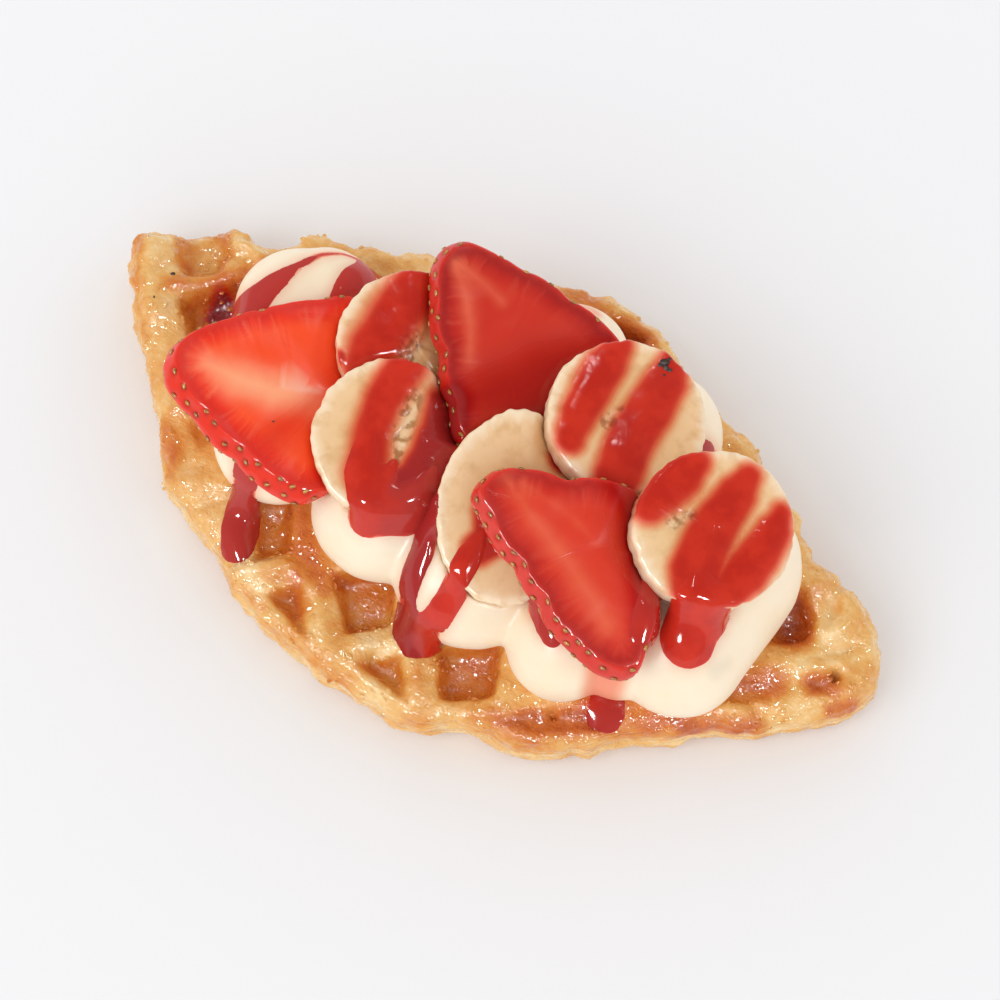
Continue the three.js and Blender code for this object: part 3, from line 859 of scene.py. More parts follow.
# %% The strokes
# Each entry: the pieces it lies on, then its strokes. A stroke: thickness, blur of its edge,
# share of dark red, points with a half width.
SOFT_BLUR = 2         # a stroke blurred this much or more is a soft one
SAUCE = {
    "banana_slice_1": (["banana_slice_1", "strawberry_slice_1"], [
        (0.5, 4.4, 0.1, [(-26.2, 23.2, 4.8), (-26.3, 17.6, 5.0), (-26.5, 12.1, 4.8),
            (-26.6, 6.2, 4.6), (-26.2, 1.5, 3.6)]),
        (0.5, 2.0, 0.4, [(-31.2, -1.6, 1.5), (-30.8, 0.6, 1.6)])]),
    "banana_slice_2": (["banana_slice_2", "cream", "croffle"], [
        (0.6, 3.6, 0.1, [(-18.6, 5.5, 3.7), (-18.5, 2.0, 3.6), (-18.4, -3.2, 3.4),
            (-17.1, -8.5, 3.4), (-15.0, -12.6, 3.6), (-13.6, -15.5, 4.0)]),
        (0.7, 3.0, 0.85, [(-8.6, 4.0, 4.0), (-6.7, -0.9, 4.0), (-5.4, -6.6, 4.2),
            (-5.0, -10.9, 4.2), (-6.6, -14.6, 4.0)]),
        (1.5, 1.2, 0.12, [(-17.6, -7.6, 1.0), (-16.2, -12.0, 2.7), (-14.0, -16.2, 3.6),
            (-10.4, -19.4, 4.4)]),
        (1.5, 1.2, 0.5, [(-4.0, -7.6, 1.0), (-3.2, -12.6, 3.4), (-4.8, -16.6, 4.2),
            (-9.6, -19.6, 4.4)]),
        (1.5, 1.2, 0.2, [(-10.6, -11.0, 0.8), (-10.4, -14.4, 2.6), (-10.0, -18.8, 4.4)]),
        (2.1, 0.7, 0.2, [(-13.4, -17.6, 1.6), (-9.8, -20.4, 4.0), (-6.4, -17.8, 2.4)])]),
    "drip": (["cream", "croffle"], [
        (1.2, 0.8, 0.7, [(-35.4, -21.2, 3.4), (-34.8, -25.4, 3.0), (-34.0, -29.0, 3.2),
            (-32.2, -33.0, 3.5), (-31.1, -35.2, 3.4)])]),
    "lobe": (["cream", "croffle"], [
        (0.7, 1.0, 0.7, [(-55.0, -1.0, 5.0), (-53.1, 2.4, 4.3), (-51.8, 7.1, 2.9),
            (-49.8, 13.6, 1.6), (-47.8, 18.6, 1.0), (-44.6, 21.6, 0.8), (-41.0, 23.0, 1.0),
            (-37.0, 23.6, 1.4)]),
        (0.9, 1.0, 0.6, [(-38.9, 22.6, 2.5), (-39.6, 19.0, 2.7), (-39.1, 14.6, 2.6),
            (-38.6, 10.6, 2.2)]),
        (0.5, 2.0, 1.0, [(-62.4, 5.0, 1.8), (-61.6, 1.6, 2.6)])]),
    "middle": (["cream", "croffle", "banana_slice_3"], [
        (1.6, 0.6, 0.86, [(-1.4, -12.6, 2.0), (-0.4, -15.0, 2.1), (1.0, -18.0, 2.3),
            (2.2, -21.8, 2.5), (2.8, -26.0, 2.4), (3.8, -29.6, 2.3), (5.4, -32.2, 2.6),
            (8.2, -33.4, 2.9)]),
        (1.4, 0.8, 0.16, [(10.4, -12.4, 0.6), (10.7, -15.6, 1.6), (10.8, -18.4, 2.4),
            (10.9, -21.0, 2.6), (11.1, -25.0, 2.6), (10.8, -28.6, 2.7), (9.6, -32.0, 2.9)]),
        (0.6, 2.2, 0.3, [(8.6, -7.0, 1.8), (9.4, -10.4, 2.6), (12.4, -13.6, 3.4),
            (11.4, -16.6, 2.9)]),
        (0.5, 2.4, 0.4, [(15.0, 6.0, 2.4), (19.0, 8.0, 2.8)]),
        (1.4, 0.6, 0.75, [(20.4, -13.9, 2.2), (24.0, -16.3, 2.2), (27.2, -18.9, 2.3),
            (29.3, -20.8, 2.2), (31.0, -22.0, 2.0)]),
        (0.7, 0.9, 0.8, [(33.4, 23.5, 1.4), (35.8, 25.4, 1.7), (38.2, 25.6, 1.2)])]),
    "banana_slice_4": (["banana_slice_4", "cream"], [
        (0.55, 3.0, 0.0, [(12.6, 29.2, 2.8), (12.8, 24.5, 3.7), (13.2, 18.8, 3.7),
            (13.7, 13.8, 3.3), (14.6, 9.8, 2.9), (15.2, 8.4, 2.6)]),
        (0.6, 3.0, 0.12, [(22.6, 32.1, 2.8), (23.6, 27.9, 3.9), (23.8, 22.6, 4.3),
            (24.0, 17.1, 4.4), (24.6, 12.6, 4.4), (25.7, 8.0, 4.4)])]),
    "banana_slice_5": (["banana_slice_5", "cream", "croffle"], [
        (0.5, 3.2, 0.0, [(36.8, 15.8, 2.9), (35.8, 12.2, 4.2), (34.9, 8.0, 4.3), (34.2, 4.4, 3.4)]),
        (0.6, 3.0, 0.1, [(46.2, 19.5, 2.2), (46.2, 15.1, 3.6), (46.0, 9.5, 4.1), (46.3, 4.3, 4.4),
            (47.5, -0.4, 4.8), (49.4, -3.0, 5.0)]),
        (0.6, 3.0, 0.05, [(54.6, 17.1, 2.0), (55.2, 13.4, 3.4), (55.2, 9.0, 3.8), (54.9, 4.1, 4.0),
            (54.0, -0.6, 3.6)]),
        (1.5, 1.2, 0.1, [(49.4, -0.6, 1.4), (50.0, -3.0, 3.6), (50.9, -5.8, 4.9),
            (52.0, -9.6, 5.0)]),
        (1.2, 1.2, 0.1, [(54.6, 1.8, 0.8), (53.8, -1.2, 2.4), (52.8, -5.0, 3.8),
            (52.2, -8.0, 4.2)]),
        (2.2, 0.6, 0.1, [(50.4, -3.0, 1.6), (51.4, -7.2, 4.6), (52.1, -9.8, 4.9)])]),
    "strawberry_slice_3": (["strawberry_slice_3", "cream"], [
        (0.5, 4.0, 0.5, [(28.0, 6.5, 2.6), (34.0, 4.0, 4.0), (38.4, -1.0, 4.2), (41.6, -6.6, 3.4),
            (44.0, -12.0, 2.4)]),
        (0.9, 0.9, 0.4, [(38.6, -1.8, 0.9), (40.6, -4.4, 1.6), (42.2, -7.2, 2.2),
            (43.6, -10.4, 2.5), (44.6, -13.0, 2.6), (45.0, -15.0, 2.2)])]),
    "tip": (["croffle"], [
        (0.2, 3.0, 0.1, [(42.0, -18.0, 3.4), (42.5, -21.6, 3.6), (43.2, -24.0, 3.4)]),
        (0.8, 1.0, 0.7, [(44.0, -22.8, 3.6), (45.0, -24.8, 3.8)])]),
}
print("strokes of sauce:", sum(len(strokes) for _, strokes in SAUCE.values()))


# %% Thickness, colour and darkness of all strokes at any points
NO_SAUCE = -9.0       # thickness far from every stroke
MELD = 0.6            # strokes this close in thickness flow into each other


def thick_of(strokes):
    return [stroke for stroke in strokes if stroke[1] < SOFT_BLUR]


def sauce_at(points, strokes):
    """(thickness, tint 0 to 1, share of dark red) at points in plan."""
    lifted = np.column_stack([points, np.zeros(len(points))])
    wander = 0.3 * noise(lifted, 6, 60) + 0.1 * noise(lifted, 2.5, 61)
    thickness = np.full(len(points), NO_SAUCE)
    tint, dark, weight = (np.zeros(len(points)) for _ in range(3))
    for thick, blur, deep, path in strokes:
        away, half = stroke_reach(points, path)
        thick_here = thick * (half / max(wide for _, _, wide in path)) ** 2
        away = away + wander
        share = np.clip(-away / half, 0, 1)
        steep = 0.5 if blur < 1 else 1.0
        body = np.where(away > 0, -0.8 * away, thick_here * (share * (2 - share)) ** steep)
        inside, outside = (-0.65, 0.65) if blur >= SOFT_BLUR else (-0.2, 0.5)
        here = (1 - step(inside * blur, outside * blur, away)) * min(1.0, 2 * thick)
        pull = here * (share + 0.05) ** 2
        dark += deep * pull
        weight += pull
        tint = np.maximum(tint, here)
        blend = np.clip(0.5 + 0.5 * (body - thickness) / MELD, 0, 1)
        mixed = thickness + (body - thickness) * blend + MELD * blend * (1 - blend)
        thickness = np.where(np.minimum(thickness, body) > -0.5, mixed,
                             np.maximum(thickness, body))
    return thickness, tint, dark / np.maximum(weight, 1e-6)


# %% The skin of the sauce
SAUCE_GRID = 0.32
GRID_MARGIN = 7
DRAPE_ROUNDS = 110
TENSION_ROUNDS = 48    # evens out the skin over lips and where strokes meet
LEAST_SAUCE = 0.4      # share of the thickness that stays on a sharp rim
SHEET_EDGE = -0.3      # the sheet is cut where its thickness, counted on below 0, is this


def beside(sheet):
    """For each height of a sheet, the sum of the four next to it."""
    wide = np.pad(sheet, 1, mode="edge")
    return wide[:-2, 1:-1] + wide[2:, 1:-1] + wide[1:-1, :-2] + wide[1:-1, 2:]


def sauce_skin(ground, thickness):
    """Thick sauce bridges the steps in the ground, and its skin is pulled even."""
    taut = ground.copy()
    for _ in range(DRAPE_ROUNDS):
        taut = np.maximum(ground, (beside(taut) + 2 * taut) / 6)
    skin = ground + (taut - ground) * step(SHEET_EDGE, 0.5, thickness) + thickness
    ease = 0.5 * step(-0.2, 0.7, thickness)
    least = ground + LEAST_SAUCE * thickness
    for _ in range(TENSION_ROUNDS):
        skin = np.maximum(skin + ease * (beside(skin) / 4 - skin), np.minimum(skin, least))
    return skin


def grid_over(strokes):
    """Rows of points in plan that cover the strokes, with a margin."""
    corners = np.array([point for *_, path in strokes for point in path])
    low = corners[:, :2].min(0) - GRID_MARGIN
    high = corners[:, :2].max(0) + GRID_MARGIN
    rows, columns = (np.arange(low[axis], high[axis], SAUCE_GRID) for axis in (0, 1))
    return np.stack(np.meshgrid(rows, columns, indexing="ij"), -1)


# %% A closed piece from two sheets
def rim_walls(quads, count):
    """Faces that close the gap between the top sheet and its copy below."""
    sides = {}
    for quad in quads:
        for start, end in zip(quad, quad[1:] + quad[:1]):
            if (end, start) in sides:
                del sides[(end, start)]
            else:
                sides[(start, end)] = True
    return [(end, start, start + count, end + count) for start, end in sides]


def closed_sheet(name, plan, top, bottom, keep):
    """The kept part of two sheets over one grid, joined round its edge."""
    number = np.cumsum(keep).reshape(keep.shape) - 1
    rows, columns = np.nonzero(keep[:-1, :-1] & keep[1:, :-1] & keep[1:, 1:] & keep[:-1, 1:])
    quads = np.column_stack([number[rows + down, columns + across] for down, across in (
        (0, 0), (1, 0), (1, 1), (0, 1))]).tolist()
    count = int(keep.sum())
    below = [[corner + count for corner in reversed(quad)] for quad in quads]
    points = [np.column_stack([plan[keep], sheet[keep]]) for sheet in (top, bottom)]
    mesh = bpy.data.meshes.new(name)
    mesh.from_pydata((np.concatenate(points) * MM).tolist(), [],
                     quads + below + rim_walls(quads, count))
    piece = bpy.data.objects.new(name, mesh)
    bpy.context.scene.collection.objects.link(piece)
    pick(piece)
    bpy.ops.object.mode_set(mode="EDIT")
    bpy.ops.mesh.select_all(action="SELECT")
    bpy.ops.mesh.delete_loose()
    bpy.ops.object.mode_set(mode="OBJECT")
    return piece


# %% Laying sauce on what is below it
UNDER_SKIN = 0.45      # how far the underside lies inside what is below
SAUCE_VOXEL = 0.3
SAUCE_SMOOTHING = 14
ABOVE_ALL = 60.0
NEAR_SAUCE = -3        # the ground is only looked up where the thickness is over this
LOWEST_SAUCE = 1       # none is poured on the table


def pour(name, strokes, stains, hosts):
    """Lay the strokes on the hosts, coloured by the stains and by the host below."""
    grid = grid_over(strokes)
    plan = grid.reshape(-1, 2)
    thickness, _, _ = sauce_at(plan, strokes)
    near = thickness > NEAR_SAUCE
    tree = tree_of(hosts)
    ground = np.zeros(len(plan))
    ground[near] = np.maximum(first_met(plan[near], tree, ABOVE_ALL, DOWN)[0], 0)
    ground, thickness = (values.reshape(grid.shape[:2]) for values in (ground, thickness))
    keep = (thickness > SHEET_EDGE) & (ground > LOWEST_SAUCE)
    piece = closed_sheet(name, grid, sauce_skin(ground, thickness), ground - UNDER_SKIN, keep)
    apply_modifier(piece, "REMESH", mode="VOXEL", voxel_size=SAUCE_VOXEL * MM)
    apply_modifier(piece, "SMOOTH", factor=0.5, iterations=SAUCE_SMOOTHING)
    points = points_of(piece)
    _, tint, dark = sauce_at(points[:, :2], stains)
    _, faces = first_met(points, tree, ABOVE_ALL, DOWN)
    owner = np.searchsorted(np.cumsum([len(h.data.polygons) for h in hosts]), faces, side="right")
    colours = np.array([HOST_COLOURS[host.name.split("_")[0]][:3] for host in hosts])
    store(piece, "tint", tint)
    store(piece, "dark", dark)
    store(piece, "host", colours[np.clip(owner, 0, len(hosts) - 1)])
    return piece


# %% Colours by their usual names
def linear(r, g, b):
    """A colour named on the usual 0 to 255 scale, as Blender's linear values."""
    values = [c / 255 for c in (r, g, b)]
    return [c / 12.92 if c <= 0.04045 else ((c + 0.055) / 1.055) ** 2.4 for c in values] + [1]


# %% Pouring
HOST_COLOURS = {  # by the first word of the piece below
    "piped": linear(255, 240, 214), "croffle": linear(205, 130, 68),
    "banana": linear(238, 205, 155), "strawberry": linear(226, 44, 32)}
below_sauce = {**slices, "cream": cream, "croffle": croffle}
poured = []
for name, (hosts, strokes) in SAUCE.items():
    if name.startswith("banana"):
        piece = slices[name]
        points = points_of(piece)
        soft_strokes = [stroke for stroke in strokes if stroke[1] >= SOFT_BLUR]
        thickness, _, _ = sauce_at(points[:, :2], soft_strokes)
        facing_up = step(0.3, 0.9, normals_of(piece)[:, 2])
        points[:, 2] += np.maximum(thickness, 0) * facing_up
        set_points(piece, points)
    if thick_of(strokes):
        poured.append(pour("sauce_" + name, thick_of(strokes), strokes,
                           [below_sauce[host] for host in hosts]))
sauce = join("strawberry_sauce", poured)
smooth_shaded(sauce)
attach(sauce, "root")
print("sauce faces:", len(sauce.data.polygons))

# %% [markdown]
# ## Seeds
# Strawberry seeds sit in small dimples all over the skin. One seed is modelled, a small sphere
# drawn out and narrowed to a drop. It is copied to evenly spread spots on each slice's skin, and
# the skin is pushed in around it. Particles would be quicker, but an exported part drops them.

# %% Spots for the seeds
SEED_GAP = 2.6
seed_rng = np.random.default_rng(80)


def seed_spots(piece):
    """Places on the bare skin, evenly spread, at least SEED_GAP apart, and their normals."""
    points = points_of(piece)
    height = stored(piece, "flat")[:, 2]
    covered, _, _ = sauce_at(points[:, :2], thick_of(SAUCE["strawberry_slice_3"][1]))
    skin = np.nonzero((stored(piece, "face") < 0.5) & (height > -1.6)
                      & (height < BERRY_THICK / 2 - 0.12) & (covered < 0.1))[0]
    chosen = []
    for index in seed_rng.permutation(skin):
        away = points[chosen] - points[index]
        if not chosen or (np.hypot(*away.T[:2]).min() > SEED_GAP * 0.4
                          and np.linalg.norm(away, axis=1).min() > SEED_GAP):
            chosen.append(index)
    return points[chosen], normals_of(piece)[chosen]


# %% One seed
SEED_SIZE = (0.64, 0.36, 0.26)
SEED_TAPER = 0.35
SEED_SUNK = 0.1
SEED_LEAN = 0.35      # how unevenly the seeds are turned, in radians
deselect()
bpy.ops.mesh.primitive_uv_sphere_add(segments=8, ring_count=6, radius=MM)
seed_model = added("seed")
seed_shape = points_of(seed_model) * SEED_SIZE
seed_shape[:, 1] *= 1 - SEED_TAPER * seed_shape[:, 0] / SEED_SIZE[0]
print("seed faces:", len(seed_model.data.polygons))


def seed_at(spot, facing):
    """A seed that lies along the skin, roughly level."""
    seed = copy_of(seed_model, "seed")
    around = Vector((-facing[1], facing[0], 0)).normalized()
    turn = seed_rng.normal(0, SEED_LEAN)
    long_way = around * math.cos(turn) + Vector(facing).cross(around) * math.sin(turn)
    axes = Matrix((long_way, Vector(facing).cross(long_way), Vector(facing)))
    set_points(seed, seed_shape @ np.array(axes) + spot - facing * SEED_SUNK)
    return seed


# %% Seeds and their dimples
DIMPLE_DEPTH = 0.32
DIMPLE_WIDTH = 0.75
seeds = []
for name in BERRIES:
    piece = slices[name]
    spots, facings = seed_spots(piece)
    points = points_of(piece)
    tree = tree_of_points(spots)
    away = np.array([tree.find(point)[2] for point in points])
    dimple = np.exp(-(away / DIMPLE_WIDTH) ** 2) * (stored(piece, "face") < 0.5)
    set_points(piece, points - normals_of(piece) * (DIMPLE_DEPTH * dimple)[:, None])
    store(piece, "dimple", dimple)
    seeds += [seed_at(spot, facing) for spot, facing in zip(spots, facings)]
bpy.data.objects.remove(seed_model)
berry_seeds = join("strawberry_seeds", seeds)
smooth_shaded(berry_seeds)
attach(berry_seeds, "root")
print("seeds:", len(seeds))

# %% [markdown]
# ## Glaze and burnt specks
# Syrup stands on the dough in small flat beads that catch the light, most of them in the pockets
# and on the ridges round them. A bump in the finish has no rim to catch the light, so they are
# meshes. A few black specks from the iron lie on the dough, on one banana slice and on one
# strawberry slice.

# %% Beads
BEADS = 320
BEAD_FLATNESS = 0.3   # height as a share of the width


def copy_to(model, name, at, size, turn):
    """A copy of the model at a place, sized in mm and turned about Z."""
    piece = copy_of(model, name)
    points = points_of(model) * size
    x, y = turned(points[:, 0], points[:, 1], turn)
    set_points(piece, np.column_stack([x, y, points[:, 2]]) + at)
    return piece


deselect()
bpy.ops.mesh.primitive_uv_sphere_add(segments=8, ring_count=5, radius=MM)
bead = added("bead")
bead_rng = np.random.default_rng(91)
points, facing = points_of(croffle), normals_of(croffle)
_, down, wall = pocket_share(points)
cover = ceiling_over(points, tree_of([cream, sauce] + list(slices.values())))
wetness = 0.35 + 0.8 * noise(points, 7, 92) + 0.9 * down + 0.5 * wall
wetness += stroke_field(points, [(1.0, 5.0, [(-27.0, -32.0, 5.0), (12.0, -38.0, 5.0),
                                             (60.0, -10.0, 4.0)])])
free = np.nonzero((facing[:, 2] > 0.25) & (points[:, 2] > 6) & np.isinf(cover)
                  & (wetness > 0.5))[0]
beads = []
for index in bead_rng.choice(free, BEADS, replace=False):
    wide = bead_rng.uniform(0.22, 0.62)
    size = (wide * bead_rng.uniform(1.0, 1.8), wide, wide * BEAD_FLATNESS)
    beads.append(copy_to(bead, "drop", points[index], size, bead_rng.uniform(0, math.pi)))
glaze = join("glaze_drops", beads)
mark_dough(glaze)
smooth_shaded(glaze)
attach(glaze, "root")
print("beads:", len(beads))

# %% Specks
SPECKS = [  # host, place, size
    ("banana_slice_4", (21.2, 31.2), 1.0), ("banana_slice_4", (21.9, 30.5), 0.8),
    ("banana_slice_4", (20.9, 30.3), 0.55), ("banana_slice_4", (22.8, 30.4), 0.5),
    ("banana_slice_4", (22.5, 29.0), 0.32), ("banana_slice_4", (21.6, 32.2), 0.5),
    ("croffle", (-73.0, 3.4), 0.5), ("croffle", (-73.0, -2.8), 0.26),
    ("strawberry_slice_1", (-34.6, -15.6), 0.3),
]
specks = []
for host, (x, y), size in SPECKS:
    below = tree_of([below_sauce[host], sauce])
    top = first_met(np.array([(x, y)]), below, ABOVE_ALL, DOWN)[0][0]
    specks.append(copy_to(bead, "speck", (x, y, top + 0.05), (size, size * 0.7, size * 0.35),
                          bead_rng.uniform(0, math.pi)))
burnt = join("burnt_specks", specks)
points = points_of(burnt)
set_points(burnt, points + 0.12 * np.column_stack(
    [noise(points, 0.6, seed) for seed in (94, 95, 96)]))
smooth_shaded(burnt)
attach(burnt, "root")
bpy.data.objects.remove(bead)
print("specks:", len(specks))

# %% [markdown]
# ## Finishes
# Every finish is built from a few kinds of step: a soft noise, a colour ramp, a mix of two
# colours and a bump. Small helpers add one step each and hand on its result.

# %% Steps of a finish
PER_MM = 1 / MM


class Finish:
    """A material. Each step adds a node to it and hands on the node's result."""

    def __init__(self, name, roughness):
        self.material = bpy.data.materials.new(name)
        self.material.use_nodes = True
        self.nodes = self.material.node_tree.nodes
        self.links = self.material.node_tree.links
        self.shader = self.nodes["Principled BSDF"]
        self.shader.inputs["Roughness"].default_value = roughness
        self.place = self.nodes.new("ShaderNodeTexCoord").outputs["Object"]

    def put(self, socket, value):
        if isinstance(value, bpy.types.NodeSocket):
            self.links.new(value, socket)
        else:
            socket.default_value = value

    def read(self, name, vector=False):
        node = self.nodes.new("ShaderNodeAttribute")
        node.attribute_name = name
        return node.outputs["Vector" if vector else "Fac"]

    def stretch(self, vector, scale=(1, 1, 1), shift=(0, 0, 0)):
        node = self.nodes.new("ShaderNodeMapping")
        self.put(node.inputs["Vector"], vector)
        node.inputs["Scale"].default_value = scale
        node.inputs["Location"].default_value = shift
        return node.outputs["Vector"]

    def soft_noise(self, vector, scale, detail=2.0, rough=0.5, twist=0.0):
        node = self.nodes.new("ShaderNodeTexNoise")
        self.put(node.inputs["Vector"], vector)
        node.inputs["Scale"].default_value = scale
        node.inputs["Detail"].default_value = detail
        node.inputs["Roughness"].default_value = rough
        node.inputs["Distortion"].default_value = twist
        return node.outputs["Fac"]

    def between(self, value, low, high, bottom=0.0, top=1.0):
        """Bottom up to low, top from high on, with a soft step between them."""
        node = self.nodes.new("ShaderNodeMapRange")
        node.interpolation_type = "SMOOTHSTEP"
        for socket, number in zip(node.inputs, (value, low, high, bottom, top)):
            self.put(socket, number)
        return node.outputs["Result"]

    def work_out(self, operation, first, second):
        node = self.nodes.new("ShaderNodeMath")
        node.operation = operation
        self.put(node.inputs[0], first)
        self.put(node.inputs[1], second)
        return node.outputs["Value"]

    def plus(self, first, second):
        return self.work_out("ADD", first, second)

    def times(self, first, second):
        return self.work_out("MULTIPLY", first, second)

    def swing(self, value, amount):
        """A noise about a half turned into ups and downs about zero."""
        return self.times(self.work_out("SUBTRACT", value, 0.5), amount)

    def mix(self, share, first, second, blend="MIX"):
        """A mix of two colours, whose sockets share their names with the other kinds."""
        node = self.nodes.new("ShaderNodeMix")
        node.data_type = "RGBA"
        node.blend_type = blend
        self.put(node.inputs["Factor"], share)
        self.put(node.inputs[6], first)
        self.put(node.inputs[7], second)
        return node.outputs[2]

    def ramp(self, share, stops):
        node = self.nodes.new("ShaderNodeValToRGB")
        self.put(node.inputs["Fac"], share)
        elements = node.color_ramp.elements
        while len(elements) < len(stops):
            elements.new(0.5)
        for element, (at, colour) in zip(elements, stops):
            element.position = at
            element.color = colour
        return node.outputs["Color"]

    def bump(self, height, depth, strength=1.0, below=None):
        node = self.nodes.new("ShaderNodeBump")
        self.put(node.inputs["Height"], height)
        node.inputs["Distance"].default_value = depth * MM
        node.inputs["Strength"].default_value = strength
        if below is not None:
            self.put(node.inputs["Normal"], below)
        return node.outputs["Normal"]

    def finish(self, piece, colour, roughness=None, normal=None, **constants):
        """Join the results to the shader, set its constants and put the material on."""
        self.put(self.shader.inputs["Base Color"], colour)
        if roughness is not None:
            self.put(self.shader.inputs["Roughness"], roughness)
        if normal is not None:
            self.put(self.shader.inputs["Normal"], normal)
        for name, value in constants.items():
            self.shader.inputs[name.replace("_", " ")].default_value = value
        piece.data.materials.clear()
        piece.data.materials.append(self.material)


# %% Table
table = Finish("table_paint", 0.85)
grain = table.soft_noise(table.place, 3.0, 3)
table.finish(floor, table.mix(table.between(grain, 0.3, 0.7), linear(242, 242, 243),
                              linear(243, 243, 243)), Specular_IOR_Level=0.0)
print("steps in the table's finish:", len(table.nodes))

# %% [markdown]
# ### Colour under sauce
# Thin red sauce works like stained glass: what lies below shows through it, more orange the
# thinner it is. Where it is thick its own red takes over. A see-through material could do this
# too, but more slowly, and not once the part is exported. So it is a rule for the colour. Every
# piece that sauce lies on uses the same rule as the sauce itself, so that no line shows where
# the wet skin ends.

# %% Sauce over any colour
STAIN = [(0.0, [1, 1, 1, 1]), (0.25, [0.93, 0.55, 0.45, 1]), (0.5, [0.86, 0.25, 0.2, 1]),
         (0.75, [0.78, 0.1, 0.09, 1]), (1.0, [0.7, 0.045, 0.05, 1])]


def under_sauce(finish, colour):
    """The colour with sauce over it, as thick and dark as the piece's attributes say."""
    tint = finish.read("tint")
    stained = finish.mix(1.0, colour, finish.ramp(tint, STAIN), blend="MULTIPLY")
    spread = finish.between(finish.soft_noise(finish.place, 0.2 * PER_MM, 3), 0.36, 0.64)
    bright = finish.mix(spread, linear(208, 50, 28), linear(190, 38, 22))
    dark = finish.read("dark")
    own = finish.mix(finish.between(dark, 0, 0.7), bright, linear(178, 54, 48))
    own = finish.mix(finish.between(dark, 0.7, 1.0), own, linear(130, 18, 26))
    return finish.mix(finish.between(tint, 0.5, 1.05, 0, 0.88), stained, own)


STAIN_INSET = 0.9     # a thick drip hides its own stain: the stain ends this far inside it


def stains_of(strokes):
    return [stroke if stroke[1] >= SOFT_BLUR else
            (*stroke[:3], [(x, y, max(half - STAIN_INSET, 0.3)) for x, y, half in stroke[3]])
            for stroke in strokes]


def stain_attributes(piece, strokes):
    """Where the strokes stain the piece, on the faces that look up."""
    points = points_of(piece)
    _, tint, dark = sauce_at(points[:, :2], stains_of(strokes))
    upward = step(-0.1, 0.5, normals_of(piece)[:, 2])
    store(piece, "tint", tint * upward)
    store(piece, "dark", dark)


# %% [markdown]
# ### Cream
# Piped cream is smooth and satin, ivory rather than white, and light goes a little way in, which
# keeps its shadows warm. A plain white would look like plaster.

# %% Cream finish
HALO = 2.4            # the cream beside a drip is faintly pink this far out
points = points_of(cream)
on_cream = thick_of([stroke for hosts, strokes in SAUCE.values() if "cream" in hosts
                     for stroke in strokes])
_, halo, _ = sauce_at(points[:, :2], [(thick, blur + HALO, deep, path)
                                      for thick, blur, deep, path in on_cream])
_, near, _ = sauce_at(points[:, :2], stains_of(on_cream + SAUCE["tip"][1][:1]))
film = stroke_field(points, [(0.3, 1.4, [(-3.0, 38.5, 1.4), (1.3, 38.4, 1.4), (3.0, 37.6, 1.0)]),
                             (0.35, 1.6, [(-34.0, -19.0, 2.0), (-28.0, -20.0, 1.0)])])
film *= step(0.3, 0.7, normals_of(cream)[:, 2])
store(cream, "tint", np.clip(np.maximum(0.22 * halo + film, near), 0, 1))
store(cream, "dark", 0.2 * np.ones(len(points)))
# Painted shade: a short stroke of cream in the crease against the fifth banana slice is darkened, as
# if that slice shaded it.
store(cream, "dent", stroke_field(points, [(1, 1.2, [(58.9, -11.3, 1.2), (60.0, -8.4, 0.8)])]))
satin = Finish("cream_satin", 0.42)
tone = satin.soft_noise(satin.place, 0.09 * PER_MM, 3, 0.5)
fine = satin.soft_noise(satin.place, 0.5 * PER_MM, 3, 0.6)
colour = satin.mix(satin.between(tone, 0.35, 0.7), linear(253, 234, 207), linear(252, 229, 198))
# Painted shade: the cream turns this darker colour where the crease shade is painted.
colour = satin.mix(satin.times(satin.read("dent"), 0.5), colour, linear(226, 212, 186))
satin.finish(cream, under_sauce(satin, colour), normal=satin.bump(fine, 0.06, 0.5),
             Subsurface_Weight=0.25, Subsurface_Scale=0.004, Subsurface_Radius=(1.0, 0.7, 0.45))
print("steps in the cream's finish:", len(satin.nodes))

# %% [markdown]
# ### Banana
# A cut banana is palest at its thin rim and tan and glassy round the core, where small grey
# brown seeds lie. Red sauce soaks into its surface with a soft edge. The rays in the flesh are
# a noise drawn out along the slice's own spokes, and a shift for each slice keeps any two from
# being alike.

# %% Banana cores, along each core's middle
CORES = {
    "banana_slice_1": [(-21.6, 11.6, 1.8), (-20.6, 8.6, 1.8)],
    "banana_slice_2": [(-14.0, 1.2, 1.4), (-12.4, -5.0, 1.8), (-10.4, -11.4, 0.9)],
    "banana_slice_3": [(18.0, -6.0, 1.5)],
    "banana_slice_4": [(20.0, 19.0, 0.8), (18.8, 15.4, 1.4)],
    "banana_slice_5": [(41.4, 7.6, 0.8), (39.4, 4.4, 1.2)],
}

